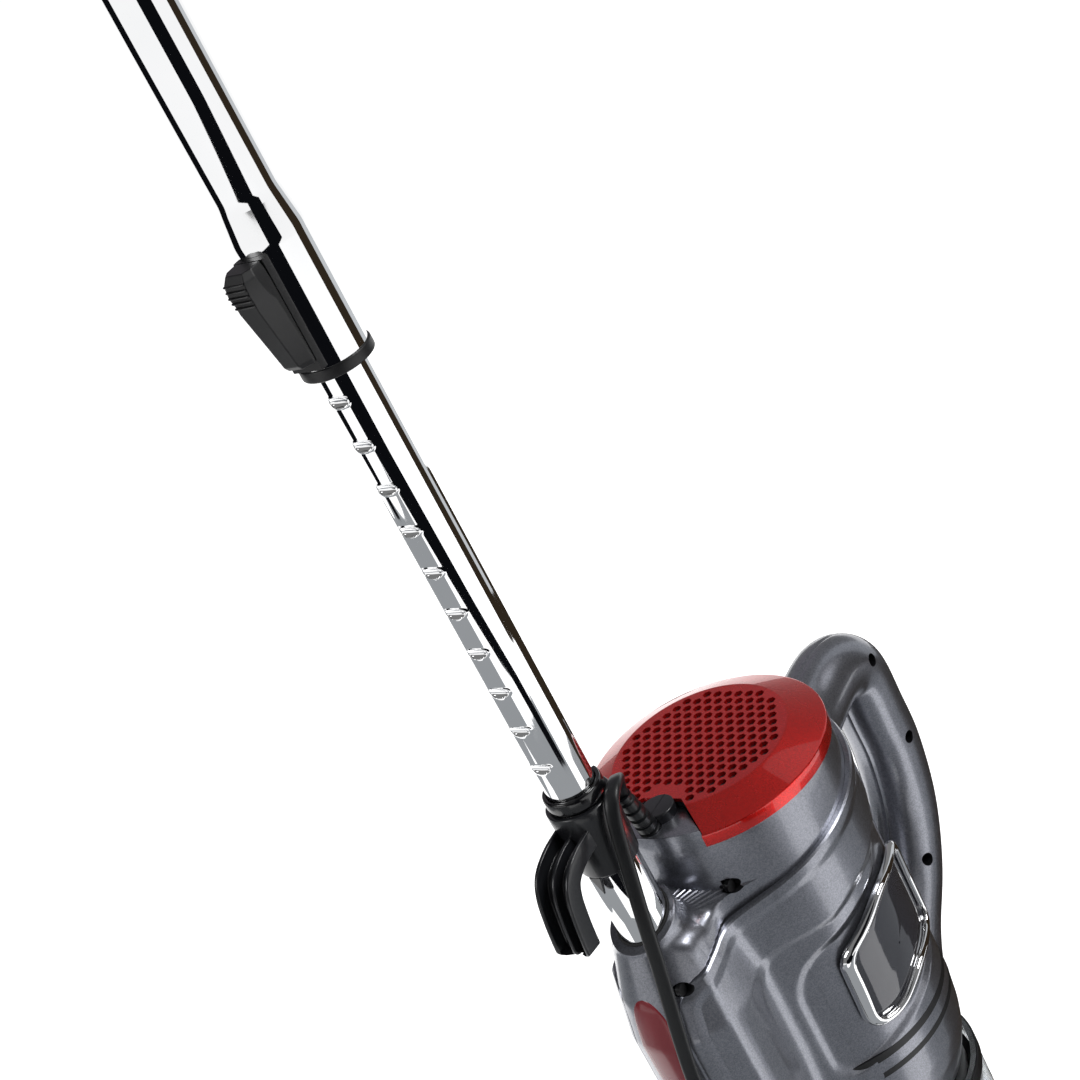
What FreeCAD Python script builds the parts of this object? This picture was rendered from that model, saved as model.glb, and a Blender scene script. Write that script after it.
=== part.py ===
"""Upright vacuum cleaner with a telescopic pole: millimetres, +Z up, the floor at z = 0.

The pole, the cord hooks and the wheels are at the back (+Y), the carrying handle at the front (-Y).
Heights named ..._Z are above the floor. The housing's levels are counted down from the grille.
"""
import FreeCAD
import Part
import math
import os

V = FreeCAD.Vector
UP = V(0, 0, 1)

# Clearances
GAP = 0.3          # between pieces that move past each other
RUN = 0.05         # a shaft in its bearing
FIT = 0.1          # a panel in its cut-out

# Housing
GRILLE_Z = 540.0   # top face of the exhaust grille
BODY_R = 60.0
COLLAR_STEP = 3.0  # the collar stands this far inside the side panels
WALL = 2.2
COLLAR_DROP = 13.2       # grille face to the collar's top edge
BODY_STRAIGHT = 167.0    # grille face to where the panels begin to close
BODY_DROP = 213.0        # grille face to the panels' lower edge
SEAM_DROP = 36.0         # seam between rear housing and panels, on the body axis
SEAM_SLOPE = 0.2
SKIRT = 8.0
CAP_INSET = 2.2    # the cap's rim inside the body's radius
CAP_PLATE_R = 42.2
CAP_CHAMFER = 6.5
CAP_WALL = 2.0
HOLE_FLATS = 4.0
HOLE_PITCH = 5.8
LEDGE = 3.0
PLATFORM_DROP = 4.6
PLATFORM_HALF = 26.0
BOSS_INSET = 16.0  # boss and strain relief inside the collar's radius
RELIEF_INSET = 7.0
BOSS_R = 8.0

# Pod that carries the pole
POLE_OFFSET = 19.4  # pole axis behind the panels' radius
POD_R = 29.0
MOUTH_RIM = 2.9    # the pod's mouth outside the stub
SPINE_HALF = 14.5
BRIDGE_HALF = 27.0
BRIDGE_DROP = 37.0
MOUTH_SLOPE = 0.387
STUB_R = 12.3
STUB_WALL = 1.3
STUB_DEPTH = 95.0
SOCKET_WALL = 2.0
GASKET = 1.5
POLE_TRAVEL = 70.0

# Telescopic pole
LOWER_R = 11.0
LOWER_WALL = 1.5
LOWER_RISE = 300.0   # grille face to the lower tube's top end
NOTCHES = 12
NOTCH_TOP = 285.8
NOTCH_PITCH = 20.2
NOTCH_R = 3.0
NOTCH_DEPTH = 1.2
UPPER_R = 12.5
UPPER_WALL = 0.8
UPPER_RISE = 515.0
FLARE_R = 14.6
FLARE_FOOT = 262.0
FLARE_TOP = 314.0
FLARE_END = 330.0
FLANGE_R = 15.4
FLANGE_H = 5.0
LATCH_FOOT = 267.0
LATCH_TOP = 311.0
LATCH_HALF = 7.5
LATCH_FACE = 27.0    # latch face behind the pole axis
LATCH_TRAVEL = 5.0
SADDLE = 1.5
LUG = 3.0
GRIP_R = 17.2
GRIP_LEN = 130.0
GRIP_WALL = 2.5
GRIP_SPIGOT = 25.0

# Cord hooks and clip
HOOK_HALF = 9.0
HOOK_DEPTH = 9.0
HOOK_WALL = 1.8
COLLAR_R = 15.0
UPPER_HOOK_RISE = 430.0
CLIP_RISE = 38.0
CLIP_H = 7.0
CLIP_T = 2.0

# Carrying handle
HANDLE_R = 16.8
HANDLE_WALL = 2.4
HANDLE_REACH = 119.0

# Screws
SCREW_HEAD_R = 2.8
SCREW_R = 1.4
RECESS_R = 3.2
BOSS_WALL_R = 4.6

# Motor
MOTOR_R = 42.0
CAN_WALL = 1.2
CAN_TOP = 62.0
CAN_FOOT = 148.0
MOUNT_H = 6.0
BULKHEAD = 4.0
INLET_R = 16.0
SHAFT_R = 4.0
BEARING_R = 11.0
BEARING_H = 7.0
FAN_R = 36.0
CORE_H = 28.0
ARMATURE_R = 22.0
AIR_GAP = 0.5
COMMUTATOR_R = 11.6

# Dust cup
CUP_R = 54.0
CUP_WALL = 2.5
CUP_TOP_DROP = 210.0
CUP_FLOOR_Z = 190.0
CUP_TAPER = 4.0
SPIGOT_R = 47.4
SPIGOT_WALL = 2.4
SPIGOT_DROP = 230.0
SPOUT_R = 19.0
SPOUT_Z = 112.0
PIPE_R = 16.0
PIPE_WALL = 1.5
PIPE_TOP_Z = 240.0
FILTER_R = 36.0
FILTER_H = 56.0
CUP_TRAVEL = 60.0
LATCH_BUTTON_HALF = 9.0

# Neck and floor head
PIVOT_Z = 44.0
BARREL_R = 24.0
BARREL_HALF = 25.0
NECK_WALL = 3.0
NECK_TOP_Z = 150.0
HEAD_HALF = 130.0
HEAD_FRONT = 105.0
HEAD_REAR = 34.0
HEAD_H = 52.0
HEAD_WALL = 2.5
SOLE_Z = 4.0
SOLE_T = 3.0
THROAT_HALF = 110.0
THROAT_LEN = 26.0
WHEEL_R = 18.0
WHEEL_W = 16.0
WHEEL_Y = 42.0
WHEEL_X = 64.0
AXLE_R = 2.5
PIN_R = 4.0

# Mains lead: it leaves the housing, loops over the cord clip and hangs to the floor
CORD_D = 5.3
CORD_W = 6.6
COIL_X = -72.0
COIL_Y = 172.0
COIL_R = 41.8
COIL_ROWS = 4
COIL_COLUMNS = 4
PLUG_R = 17.5
PIN_SPACING = 19.0
PLUG_PIN_R = 2.4
PLUG_PIN_LEN = 19.0
# Points of the lead from the strain relief to the coil, from the body axis and the grille face
CORD_ROUTE = [
    (0, 56.4, 20.0), (-2.0, 57.6, 26.5), (-7.0, 61.0, 33.0), (-13.0, 66.5, 38.5),
    (-17.6, 73.8, 42.0), (-19.2, 81.0, 40.0), (-19.5, 85.5, 32.0), (-19.6, 89.2, 20.0),
    (-19.5, 92.5, 7.0), (-19.3, 95.8, -5.5), (-19.0, 98.8, -19.0), (-18.3, 101.5, -34.0),
    (-17.0, 104.9, -52.0), (-15.6, 108.6, -71.0), (-14.6, 112.4, -92.0), (-14.8, 115.2, -119.0),
    (-16.0, 117.6, -156.0), (-17.2, 119.0, -206.0), (-19.0, 121.5, -260.0),
    (-20.2, 123.0, -315.0), (-21.6, 126.4, -368.0), (-22.6, 130.0, -418.0),
    (-22.6, 137.4, -461.0), (-21.2, 148.0, -494.0), (-20.5, 161.0, -512.0), (-20.3, 172.0, -516.9),
]
TAIL_ROUTE = [(-123.7, 172.0, 3.3), (-124.0, 160.0, 3.8), (-125.0, 147.0, 8.0), (-126.2, 135.0, 15.5),
              (-126.5, 123.0, 17.5)]

COLLAR_OUT_R = BODY_R - COLLAR_STEP
CAP_R = BODY_R - CAP_INSET
BOSS_Y = COLLAR_OUT_R - BOSS_INSET
RELIEF_Y = COLLAR_OUT_R - RELIEF_INSET
POLE_Y = BODY_R + POLE_OFFSET
POD_MOUTH_R = STUB_R + MOUTH_RIM
POD_BOTTOM = BODY_DROP + 1.0
SOCKET_R = STUB_R + GAP
HOOK_LINE = [(11.5, 27.0), (22.0, 26.0), (31.0, 22.5), (35.5, 16.0), (38.0, 6.0), (39.4, -3.0), (40.2, -11.0)]
BODY_Y = (HANDLE_REACH + HANDLE_R - POLE_Y - HOOK_LINE[-1][0] - HOOK_DEPTH / 2) / 2   # centres the cleaner


def level(drop):
    """Height above the floor of a level that lies this far below the grille face."""
    return GRILLE_Z - drop


def box(x0, x1, y0, y1, z0, z1):
    return Part.makeBox(x1 - x0, y1 - y0, z1 - z0, V(x0, y0, z0))


def rod(radius, start, end):
    """A round bar from one point to another."""
    start, end = V(*start), V(*end)
    return Part.makeCylinder(radius, (end - start).Length, start, end - start)


def disc(radius, z0, z1, x=0.0, y=0.0):
    return rod(radius, (x, y, z0), (x, y, z1))


def tube(outer, inner, z0, z1, x=0.0, y=0.0):
    return disc(outer, z0, z1, x, y).cut(disc(inner, z0 - 1, z1 + 1, x, y))


def turned(profile, x=0.0, y=0.0):
    """A solid turned about a vertical axis from (radius, height) corners."""
    wire = Part.makePolygon([V(r, 0, z) for r, z in profile + profile[:1]])
    solid = Part.Face(wire).revolve(V(0, 0, 0), UP, 360)
    solid.translate(V(x, y, 0))
    return solid


def prism(points, low, high, along):
    """A polygon drawn across the named axis and stretched along it."""
    place = {"x": lambda a, b: V(low, a, b), "y": lambda a, b: V(a, low, b), "z": lambda a, b: V(a, b, low)}
    step = {"x": V(high - low, 0, 0), "y": V(0, high - low, 0), "z": V(0, 0, high - low)}
    corners = [place[along](a, b) for a, b in points]
    return Part.Face(Part.makePolygon(corners + corners[:1])).extrude(step[along])


def offset_line(points, distance):
    """The open line moved sideways, to the right of its direction."""
    moved = []
    for i, point in enumerate(points):
        before = points[max(i - 1, 0)]
        after = points[min(i + 1, len(points) - 1)]
        run = math.hypot(after[0] - before[0], after[1] - before[1])
        normal = ((after[1] - before[1]) / run, -(after[0] - before[0]) / run)
        moved.append((point[0] + normal[0] * distance, point[1] + normal[1] * distance))
    return moved


def ribbon(points, inner, outer, x0, x1):
    """A bar along a line in the Y-Z plane, between two sideways offsets, from x0 to x1."""
    outline = offset_line(points, inner) + offset_line(points, outer)[::-1]
    return prism(outline, x0, x1, "x")


def rounded_path(points, share=0.45):
    """Straight runs joined by tangent arcs; returns the wire, its length and its radii."""
    points = [V(*p) for p in points]
    edges = []
    radii = []
    last = points[0]
    for before, here, after in zip(points, points[1:], points[2:]):
        back = (before - here).normalize()
        ahead = (after - here).normalize()
        turn = math.pi - back.getAngle(ahead)
        reach = share * min((before - here).Length, (after - here).Length)
        radius = reach / math.tan(turn / 2)
        start = here + back * reach
        end = here + ahead * reach
        middle = here + (back + ahead).normalize() * (radius / math.cos(turn / 2) - radius)
        edges.append(Part.LineSegment(last, start).toShape())
        edges.append(Part.Arc(start, middle, end).toShape())
        radii.append(radius)
        last = end
    edges.append(Part.LineSegment(last, points[-1]).toShape())
    wire = Part.Wire(edges)
    return wire, wire.Length, radii


def piped(points, radius):
    """A round bar swept along straight runs and tangent arcs."""
    wire, length, radii = rounded_path(points)
    heading = V(*points[1]) - V(*points[0])
    section = Part.Wire([Part.makeCircle(radius, V(*points[0]), heading)])
    return wire.makePipeShell([section], True, False), length, radii


def joined(shapes):
    whole = shapes[0].fuse(shapes[1:])
    return whole.removeSplitter()


def save(name, shape):
    """Writes one node, moved so that the cleaner stands centred on the origin."""
    solids = shape.Solids
    moved = solids[0].copy() if len(solids) == 1 else Part.makeCompound(solids)
    moved.translate(V(0, BODY_Y, 0))
    moved.exportStep(f"parts/{name}.step")
    good = moved.isValid() and all(s.Volume > 0 for s in solids)
    print(f"{name:24s} solids {len(solids)}  volume {moved.Volume / 1000:9.3f} cm3  {'ok' if good else 'BAD'}")


def halves(name, shape):
    """Saves the left and right mouldings of a shell that is split down its middle."""
    big = 2000
    save(f"{name}_left", shape.common(box(-big, 0, -big, big, -big, big)))
    save(f"{name}_right", shape.common(box(0, big, -big, big, -big, big)))


# ---------------------------------------------------------------- housing

def seam_space(above, shift=0.0):
    """Everything above or below the sloping seam, which may be shifted down."""
    reach = 300
    z_front = level(SEAM_DROP + shift) + SEAM_SLOPE * reach
    z_back = level(SEAM_DROP + shift) - SEAM_SLOPE * reach
    far = level(-reach) if above else level(600)
    return prism([(-reach, z_front), (reach, z_back), (reach, far), (-reach, far)], -reach, reach, "x")


def mouth_space(lift):
    """Everything above the pod's sloping mouth, lifted by this much."""
    reach = 300
    z_axis = level(28.5) + lift
    slope = MOUTH_SLOPE * reach
    corners = [(POLE_Y - reach, z_axis + slope), (POLE_Y + reach, z_axis - slope),
               (POLE_Y + reach, level(-reach)), (POLE_Y - reach, level(-reach))]
    return prism(corners, -reach, reach, "x")


def body_solid(shrink, top_drop):
    """The barrel of the body, closing in towards the dust cup."""
    close = BODY_DROP - BODY_STRAIGHT
    shape = [(0.0, 0.0), (1.4, 0.33), (3.2, 0.52), (7.3, 0.78), (12.3, 1.0)]
    rim = [(BODY_R - shrink - inset, level(BODY_STRAIGHT + close * share)) for inset, share in shape]
    return turned([(0, level(top_drop)), (BODY_R - shrink, level(top_drop))] + rim + [(0, rim[-1][1])])


def pod_solid(shrink):
    """The pod round the pole, turned about the pole's axis."""
    deep = POD_R - POD_MOUTH_R
    profile = [(0, level(18)), (POD_MOUTH_R - shrink, level(18)), (POD_MOUTH_R + 0.13 * deep - shrink, level(36)),
               (POD_MOUTH_R + 0.42 * deep - shrink, level(48)), (POD_MOUTH_R + 0.71 * deep - shrink, level(60)),
               (POD_R - shrink, level(80)), (POD_R - shrink, level(130)), (POD_R - 2 - shrink, level(160)),
               (POD_R - 9 - shrink, level(190)), (POD_R - 21 - shrink * 0.5, level(POD_BOTTOM - 2)),
               (0, level(POD_BOTTOM - shrink))]
    return joined([turned(profile, 0, POLE_Y), bridge(shrink)])


def bridge(shrink):
    """The web that blends the collar and the panels into the pod."""
    near, far = BODY_R - 20, POLE_Y
    wide, narrow = BRIDGE_HALF - shrink, POD_MOUTH_R + 3 - shrink
    plan = prism([(-wide, near), (-narrow, far), (narrow, far), (wide, near)], level(BODY_DROP - 20), level(0), "z")
    top, deck = level(BRIDGE_DROP + shrink), level(BRIDGE_DROP + 9 + shrink)
    side = [(near, top), (COLLAR_OUT_R + 1, top), (POLE_Y - 8, deck), (far, deck), (far, 0), (near, 0)]
    return plan.common(prism(side, -wide, wide, "x"))


def platform():
    """The raised deck and wall at the back of the collar, with the round boss on it."""
    inner = BOSS_Y - 5.0
    edge = math.sqrt(COLLAR_OUT_R ** 2 - PLATFORM_HALF ** 2)
    corners = [(-PLATFORM_HALF, edge), (-10, inner), (10, inner), (PLATFORM_HALF, edge),
               (PLATFORM_HALF, 90), (-PLATFORM_HALF, 90)]
    area = prism(corners, level(COLLAR_DROP), level(PLATFORM_DROP), "z")
    deck = area.common(disc(COLLAR_OUT_R, level(COLLAR_DROP), level(PLATFORM_DROP)))
    hollow = disc(COLLAR_OUT_R - WALL, level(COLLAR_DROP) - 1, level(PLATFORM_DROP + WALL))
    inner_box = box(-PLATFORM_HALF + WALL, PLATFORM_HALF - WALL, inner + WALL, 90, 0, level(0))
    deck = deck.cut(hollow.common(inner_box))
    boss = disc(BOSS_R, level(COLLAR_DROP), level(0.2), 0, BOSS_Y)
    return joined([deck, boss])


def platform_clearance():
    """What the red cap leaves free for the deck and the boss."""
    inner = BOSS_Y - 5.0 - FIT
    edge = math.sqrt(COLLAR_OUT_R ** 2 - PLATFORM_HALF ** 2)
    wide = PLATFORM_HALF + FIT
    corners = [(-wide, edge - FIT), (-10 - FIT, inner), (10 + FIT, inner), (wide, edge - FIT), (wide, 90), (-wide, 90)]
    return joined([prism(corners, level(30), level(-5), "z"), disc(BOSS_R + 0.6, level(30), level(-5), 0, BOSS_Y)])


def leaf(grow, y0, y1):
    """The leaf outline of the release button, stretched along Y."""
    top, foot, half = level(55 - grow), level(118 + grow), 7.2 + grow
    middle = (top + foot) / 2
    left = Part.Arc(V(0, y0, top), V(-half, y0, middle), V(0, y0, foot)).toShape()
    right = Part.Arc(V(0, y0, foot), V(half, y0, middle), V(0, y0, top)).toShape()
    return Part.Face(Part.Wire([left, right])).extrude(V(0, y1 - y0, 0))


def spine():
    """The strip of the pod's back that belongs to the rear housing."""
    return box(-SPINE_HALF, SPINE_HALF, POLE_Y + 5, POLE_Y + 60, level(300), level(0))


COLLAR_SCREW_ANGLE = math.radians(123.7)
COLLAR_SCREW_OUT = 4.3
POD_SCREW_BACK = 15.8
SCREW_MOUTH_X = (COLLAR_OUT_R + COLLAR_SCREW_OUT) * math.cos(COLLAR_SCREW_ANGLE)
SCREW_MOUTH_Y = (COLLAR_OUT_R + COLLAR_SCREW_OUT) * math.sin(COLLAR_SCREW_ANGLE)
HOUSING_SCREWS = [  # x of the recess mouth, y, drop, depth of the recess, far end of the screw
    (SCREW_MOUTH_X, SCREW_MOUTH_Y, 36.0, 8.0, SCREW_MOUTH_X + 18.0),
    (-20.0, POLE_Y + POD_SCREW_BACK, 55.0, 4.5, -11.0),
]
HANDLE_SCREWS = [(-(HANDLE_REACH - 2), 47.0), (-(HANDLE_REACH - 1), 96.0), (-(HANDLE_REACH - 27), 153.0)]


def rear_housing():
    collar = disc(COLLAR_OUT_R, level(100), level(COLLAR_DROP)).common(seam_space(True, SKIRT))
    pod = pod_solid(0)
    above = joined([collar, pod.common(seam_space(True))])
    above = above.cut(disc(COLLAR_OUT_R - WALL, level(120), level(0)))
    strip = pod.common(spine()).common(seam_space(False)).cut(disc(BODY_R + 1, 0, level(0)))
    shell = joined([above, strip]).cut(pod_solid(WALL))
    shell = shell.cut(mouth_space(0).common(disc(POD_MOUTH_R + 4, level(60), level(0), 0, POLE_Y)))
    ledge = tube(COLLAR_OUT_R - WALL + 0.2, COLLAR_OUT_R - WALL - LEDGE, level(COLLAR_DROP + 4), level(COLLAR_DROP + 2))
    shell = joined([shell, platform(), ledge.cut(pod_solid(0))])
    for x, y, drop, depth, far in HOUSING_SCREWS[:1]:
        z = level(drop)
        post = rod(BOSS_WALL_R, (x + 4, y, z), (far, y, z)).common(disc(COLLAR_OUT_R - 0.5, 0, level(0)))
        shell = joined([shell, post])
        shell = shell.cut(rod(RECESS_R, (x - 20, y, z), (x + depth, y, z)))
        shell = shell.cut(rod(SCREW_R, (x, y, z), (far + 2, y, z)))
    x, y, drop, depth, far = HOUSING_SCREWS[1]
    z = level(drop)
    shell = shell.cut(rod(RECESS_R, (x - 20, y, z), (x + depth, y, z)))
    shell = shell.cut(rod(SCREW_R, (x, y, z), (far + 2, y, z)))
    shell = shell.cut(leaf(0.35, POLE_Y + 5, POLE_Y + 60))
    shell = shell.cut(rod(RELIEF_HOLE_R + RELIEF_ROOM, *relief_axis()))
    shell = shell.cut(disc(RELIEF_SEAT_R + RUN, level(30), level(PLATFORM_DROP + WALL), 0, RELIEF_Y))
    halves("rear_housing", shell)


def handle_path():
    reach = HANDLE_REACH
    root = BODY_R - 12
    flat = [(-root, 48.0), (-(reach - 17), 43.5), (-(reach - 1.5), 54.0), (-(reach + 0.5), 80.0), (-reach, 104.0),
            (-(reach - 8), 134.0), (-(reach - 25), 161.0), (-(root + 2), 199.0)]
    return [(0, y, level(drop)) for y, drop in flat]


WINDOW = [(-31.0, 80.0), (2.0, 80.5), (33.5, 96.0), (34.5, 138.0), (22.0, 140.5), (-4.0, 132.0), (-31.0, 127.0)]
FRAME_T = 4.0


def window_prism(shrink):
    """The outline of the side window, from both sides through the body, with rounded corners."""
    centre = (sum(y for y, d in WINDOW) / len(WINDOW), sum(d for y, d in WINDOW) / len(WINDOW))
    corners = []
    for y, drop in WINDOW:
        away = math.hypot(y - centre[0], drop - centre[1])
        keep = 1 - shrink / away
        corners.append((centre[0] + (y - centre[0]) * keep, level(centre[1] + (drop - centre[1]) * keep)))
    solid = prism(corners, -BODY_R - 10, BODY_R + 10, "x")
    along = [e for e in solid.Edges if abs(e.Length - 2 * BODY_R - 20) < 0.01]
    return solid.makeFillet(4.0, along)


def side_panel(name, side):
    """One moulding: the panel, its wing round the pod and its half of the carrying handle."""
    half = box(*sorted((0, side * 400)), -400, 400, 0, level(-400))
    wide = box(*sorted((-side, side * 400)), -400, 400, 0, level(-400))
    barrel = body_solid(0, 18).common(seam_space(False))
    wing = pod_solid(0).common(seam_space(False)).cut(spine())
    handle = piped(handle_path(), HANDLE_R)[0]
    core = piped(handle_path(), HANDLE_R - HANDLE_WALL)[0]
    shell = joined([piece.common(half) for piece in (barrel, wing, handle)])
    shell = shell.cut(body_solid(COLLAR_STEP - GAP, 18)).cut(pod_solid(WALL)).cut(core.common(wide))
    shell = shell.cut(disc(SPIGOT_R + FIT, level(BODY_DROP + 20), level(BODY_STRAIGHT + 20)))
    for y, drop in HANDLE_SCREWS:
        z = level(drop)
        shell = joined([shell, rod(BOSS_WALL_R, (0, y, z), (side * (HANDLE_R - 2), y, z))])
        shell = shell.cut(rod(RECESS_R, (-30, y, z), (-6, y, z)))
        shell = shell.cut(rod(SCREW_R, (-7, y, z), (9, y, z)))
    x, y, drop, depth, far = HOUSING_SCREWS[1]
    z = level(drop)
    if side < 0:
        post = rod(BOSS_WALL_R, (x + 1, y, z), (far, y, z)).common(pod_solid(0.5)).common(seam_space(False))
        shell = joined([shell, post.cut(spine())])
        shell = shell.cut(rod(RECESS_R, (x - 20, y, z), (x + depth, y, z)))
        shell = shell.cut(rod(SCREW_R, (x, y, z), (far + 2, y, z)))
    shell = shell.cut(window_prism(0).cut(disc(BODY_R - COLLAR_STEP - 5, 0, level(0))))
    save(name, shell.cut(switch_slot()))


def window_parts():
    skin = disc(BODY_R + 1.2, level(150), level(70)).cut(disc(BODY_R - COLLAR_STEP + GAP, level(151), level(69)))
    ring = window_prism(FIT).cut(window_prism(FRAME_T)).common(skin)
    save("window_frames", ring)
    glass = window_prism(FRAME_T + FIT).common(
        disc(BODY_R - 0.4, level(150), level(70)).cut(disc(BODY_R - 2.4, level(151), level(69))))
    save("windows", glass)


def screws():
    """Self-tapping screws, all driven from the left."""
    parts = []
    for x, y, drop, depth, far in HOUSING_SCREWS:
        z = level(drop)
        parts.append(joined([rod(SCREW_HEAD_R, (x + depth - 2, y, z), (x + depth, y, z)),
                             rod(SCREW_R, (x + depth, y, z), (far + 1, y, z))]))
    for y, drop in HANDLE_SCREWS:
        z = level(drop)
        parts.append(joined([rod(SCREW_HEAD_R, (-8, y, z), (-6, y, z)), rod(SCREW_R, (-6, y, z), (8, y, z))]))
    save("shell_screws", Part.makeCompound(parts))


def grille_cap():
    r, plate = CAP_R, CAP_PLATE_R
    outer = [(0, level(0)), (plate, level(0)), (r - 1.3, level(CAP_CHAMFER)), (r, level(CAP_CHAMFER + 0.6)),
             (r, level(COLLAR_DROP)), (0, level(COLLAR_DROP))]
    w = CAP_WALL
    hollow = [(0, level(w)), (plate, level(w)), (r - 1.3 - w, level(CAP_CHAMFER + w)), (r - w, level(CAP_CHAMFER + w)),
              (r - w, level(COLLAR_DROP + 1)), (0, level(COLLAR_DROP + 1))]
    cap = turned(outer).cut(turned(hollow)).cut(platform_clearance())
    cuts = []
    rows = int(plate / (HOLE_PITCH * 0.866)) + 1
    for row in range(-rows, rows + 1):
        for column in range(-rows, rows + 1):
            x = (column + (row % 2) / 2) * HOLE_PITCH
            y = row * HOLE_PITCH * 0.866
            if math.hypot(x, y) > plate - HOLE_FLATS * 0.8:
                continue
            if y > BOSS_Y - 16 and abs(x) < BOSS_R + 8:
                continue
            corners = [(x + HOLE_FLATS / 1.732 * math.cos(math.radians(30 + 60 * i)),
                        y + HOLE_FLATS / 1.732 * math.sin(math.radians(30 + 60 * i))) for i in range(6)]
            cuts.append(prism(corners, level(w + 1), level(-1), "z"))
    save("grille_cap", cap.cut(Part.makeCompound(cuts)))


def exhaust():
    """The filter pad under the grille, and the vented tray that carries it."""
    keep_out = platform_clearance()
    tray_top = level(COLLAR_DROP)
    tray = disc(COLLAR_OUT_R - WALL - FIT, tray_top - 2, tray_top)
    for i in range(12):
        angle = math.radians(30 * i + 15)
        for radius in (14, 25, 36):
            tray = tray.cut(disc(3.0, tray_top - 3, tray_top + 1, radius * math.cos(angle), radius * math.sin(angle)))
    pod_room = disc(POD_MOUTH_R + 3, 0, level(0), 0, POLE_Y)
    save("filter_tray", tray.cut(pod_room).cut(disc(RELIEF_HOLE_R + 5, 0, level(0), 0, RELIEF_Y)))
    pad = disc(CAP_PLATE_R - 1, tray_top, level(CAP_WALL))
    save("exhaust_filter", pad.cut(keep_out))


# ---------------------------------------------------------------- lead entry

RELIEF_HOLE_R = 4.9
RELIEF_ROOM = 0.15
RELIEF_TOP_R = 3.9
RELIEF_SEAT_R = 6.2


def relief_axis():
    """Foot and top of the strain relief, which leans back a little."""
    return (0, RELIEF_Y, level(11)), (0, CORD_ROUTE[0][1], GRILLE_Z + CORD_ROUTE[0][2])


def strain_relief():
    """A ribbed rubber sleeve that leans back a little, with a plug held in the deck."""
    foot, top = relief_axis()
    axis = V(*top) - V(*foot)
    length = axis.Length
    profile = [(0, 0), (RELIEF_HOLE_R, 0)]
    for i in range(5):
        low = 7 + i * (length - 9) / 5
        radius = RELIEF_HOLE_R - (RELIEF_HOLE_R - RELIEF_TOP_R) * i / 5
        profile += [(radius, low), (radius, low + 2.6), (radius - 1.1, low + 3.2), (radius - 1.1, low + 4.2)]
    profile += [(RELIEF_TOP_R, length), (0, length)]
    sleeve = turned(profile)
    sleeve.Placement = FreeCAD.Placement(V(*foot), FreeCAD.Rotation(UP, axis))
    seat = disc(RELIEF_SEAT_R, level(COLLAR_DROP) - 0.5, level(PLATFORM_DROP + WALL) - 0.1, 0, RELIEF_Y)
    save("strain_relief", joined([sleeve.cut(box(-20, 20, 0, 90, level(60), level(COLLAR_DROP) - 0.5)), seat]))


# ---------------------------------------------------------------- pole socket and its release

def pole_socket():
    foot = level(STUB_DEPTH + 3)
    sleeve = tube(SOCKET_R + SOCKET_WALL, SOCKET_R, foot, level(38), 0, POLE_Y)
    floor = disc(SOCKET_R + SOCKET_WALL, foot - 2.5, foot, 0, POLE_Y)
    rib_y = POLE_Y - SOCKET_R - SOCKET_WALL + 0.6
    rib = box(-2, 2, COLLAR_OUT_R + GAP + 1, rib_y, foot - 2.5, level(70))
    hole = box(-3.5, 3.5, POLE_Y, POLE_Y + 30, level(88), level(78))
    save("pole_socket", joined([sleeve, floor, rib]).cut(hole))
    ring = tube(POD_MOUTH_R - 0.1, SOCKET_R, level(60), level(0), 0, POLE_Y)
    save("socket_gasket", ring.common(mouth_space(0)).cut(mouth_space(GASKET)))


def release_button():
    """The red button on the spine, its stem towards the pole and its coil spring."""
    skin = pod_solid(-0.6).cut(pod_solid(WALL + 0.8))
    shell = leaf(0, POLE_Y + 5, POLE_Y + 60).common(skin)
    stem_end = POLE_Y + SOCKET_R + SOCKET_WALL + 3.0
    z = level(83)
    stem = rod(2.6, (0, stem_end, z), (0, POLE_Y + POD_R - WALL, z))
    save("release_button", joined([shell, stem]))
    spring = rod(4.2, (0, stem_end, z), (0, POLE_Y + POD_R - WALL - 1.6, z))
    save("release_spring", spring.cut(rod(2.6 + RUN, (0, POLE_Y, z), (0, POLE_Y + 60, z))))


# ---------------------------------------------------------------- motor

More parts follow.
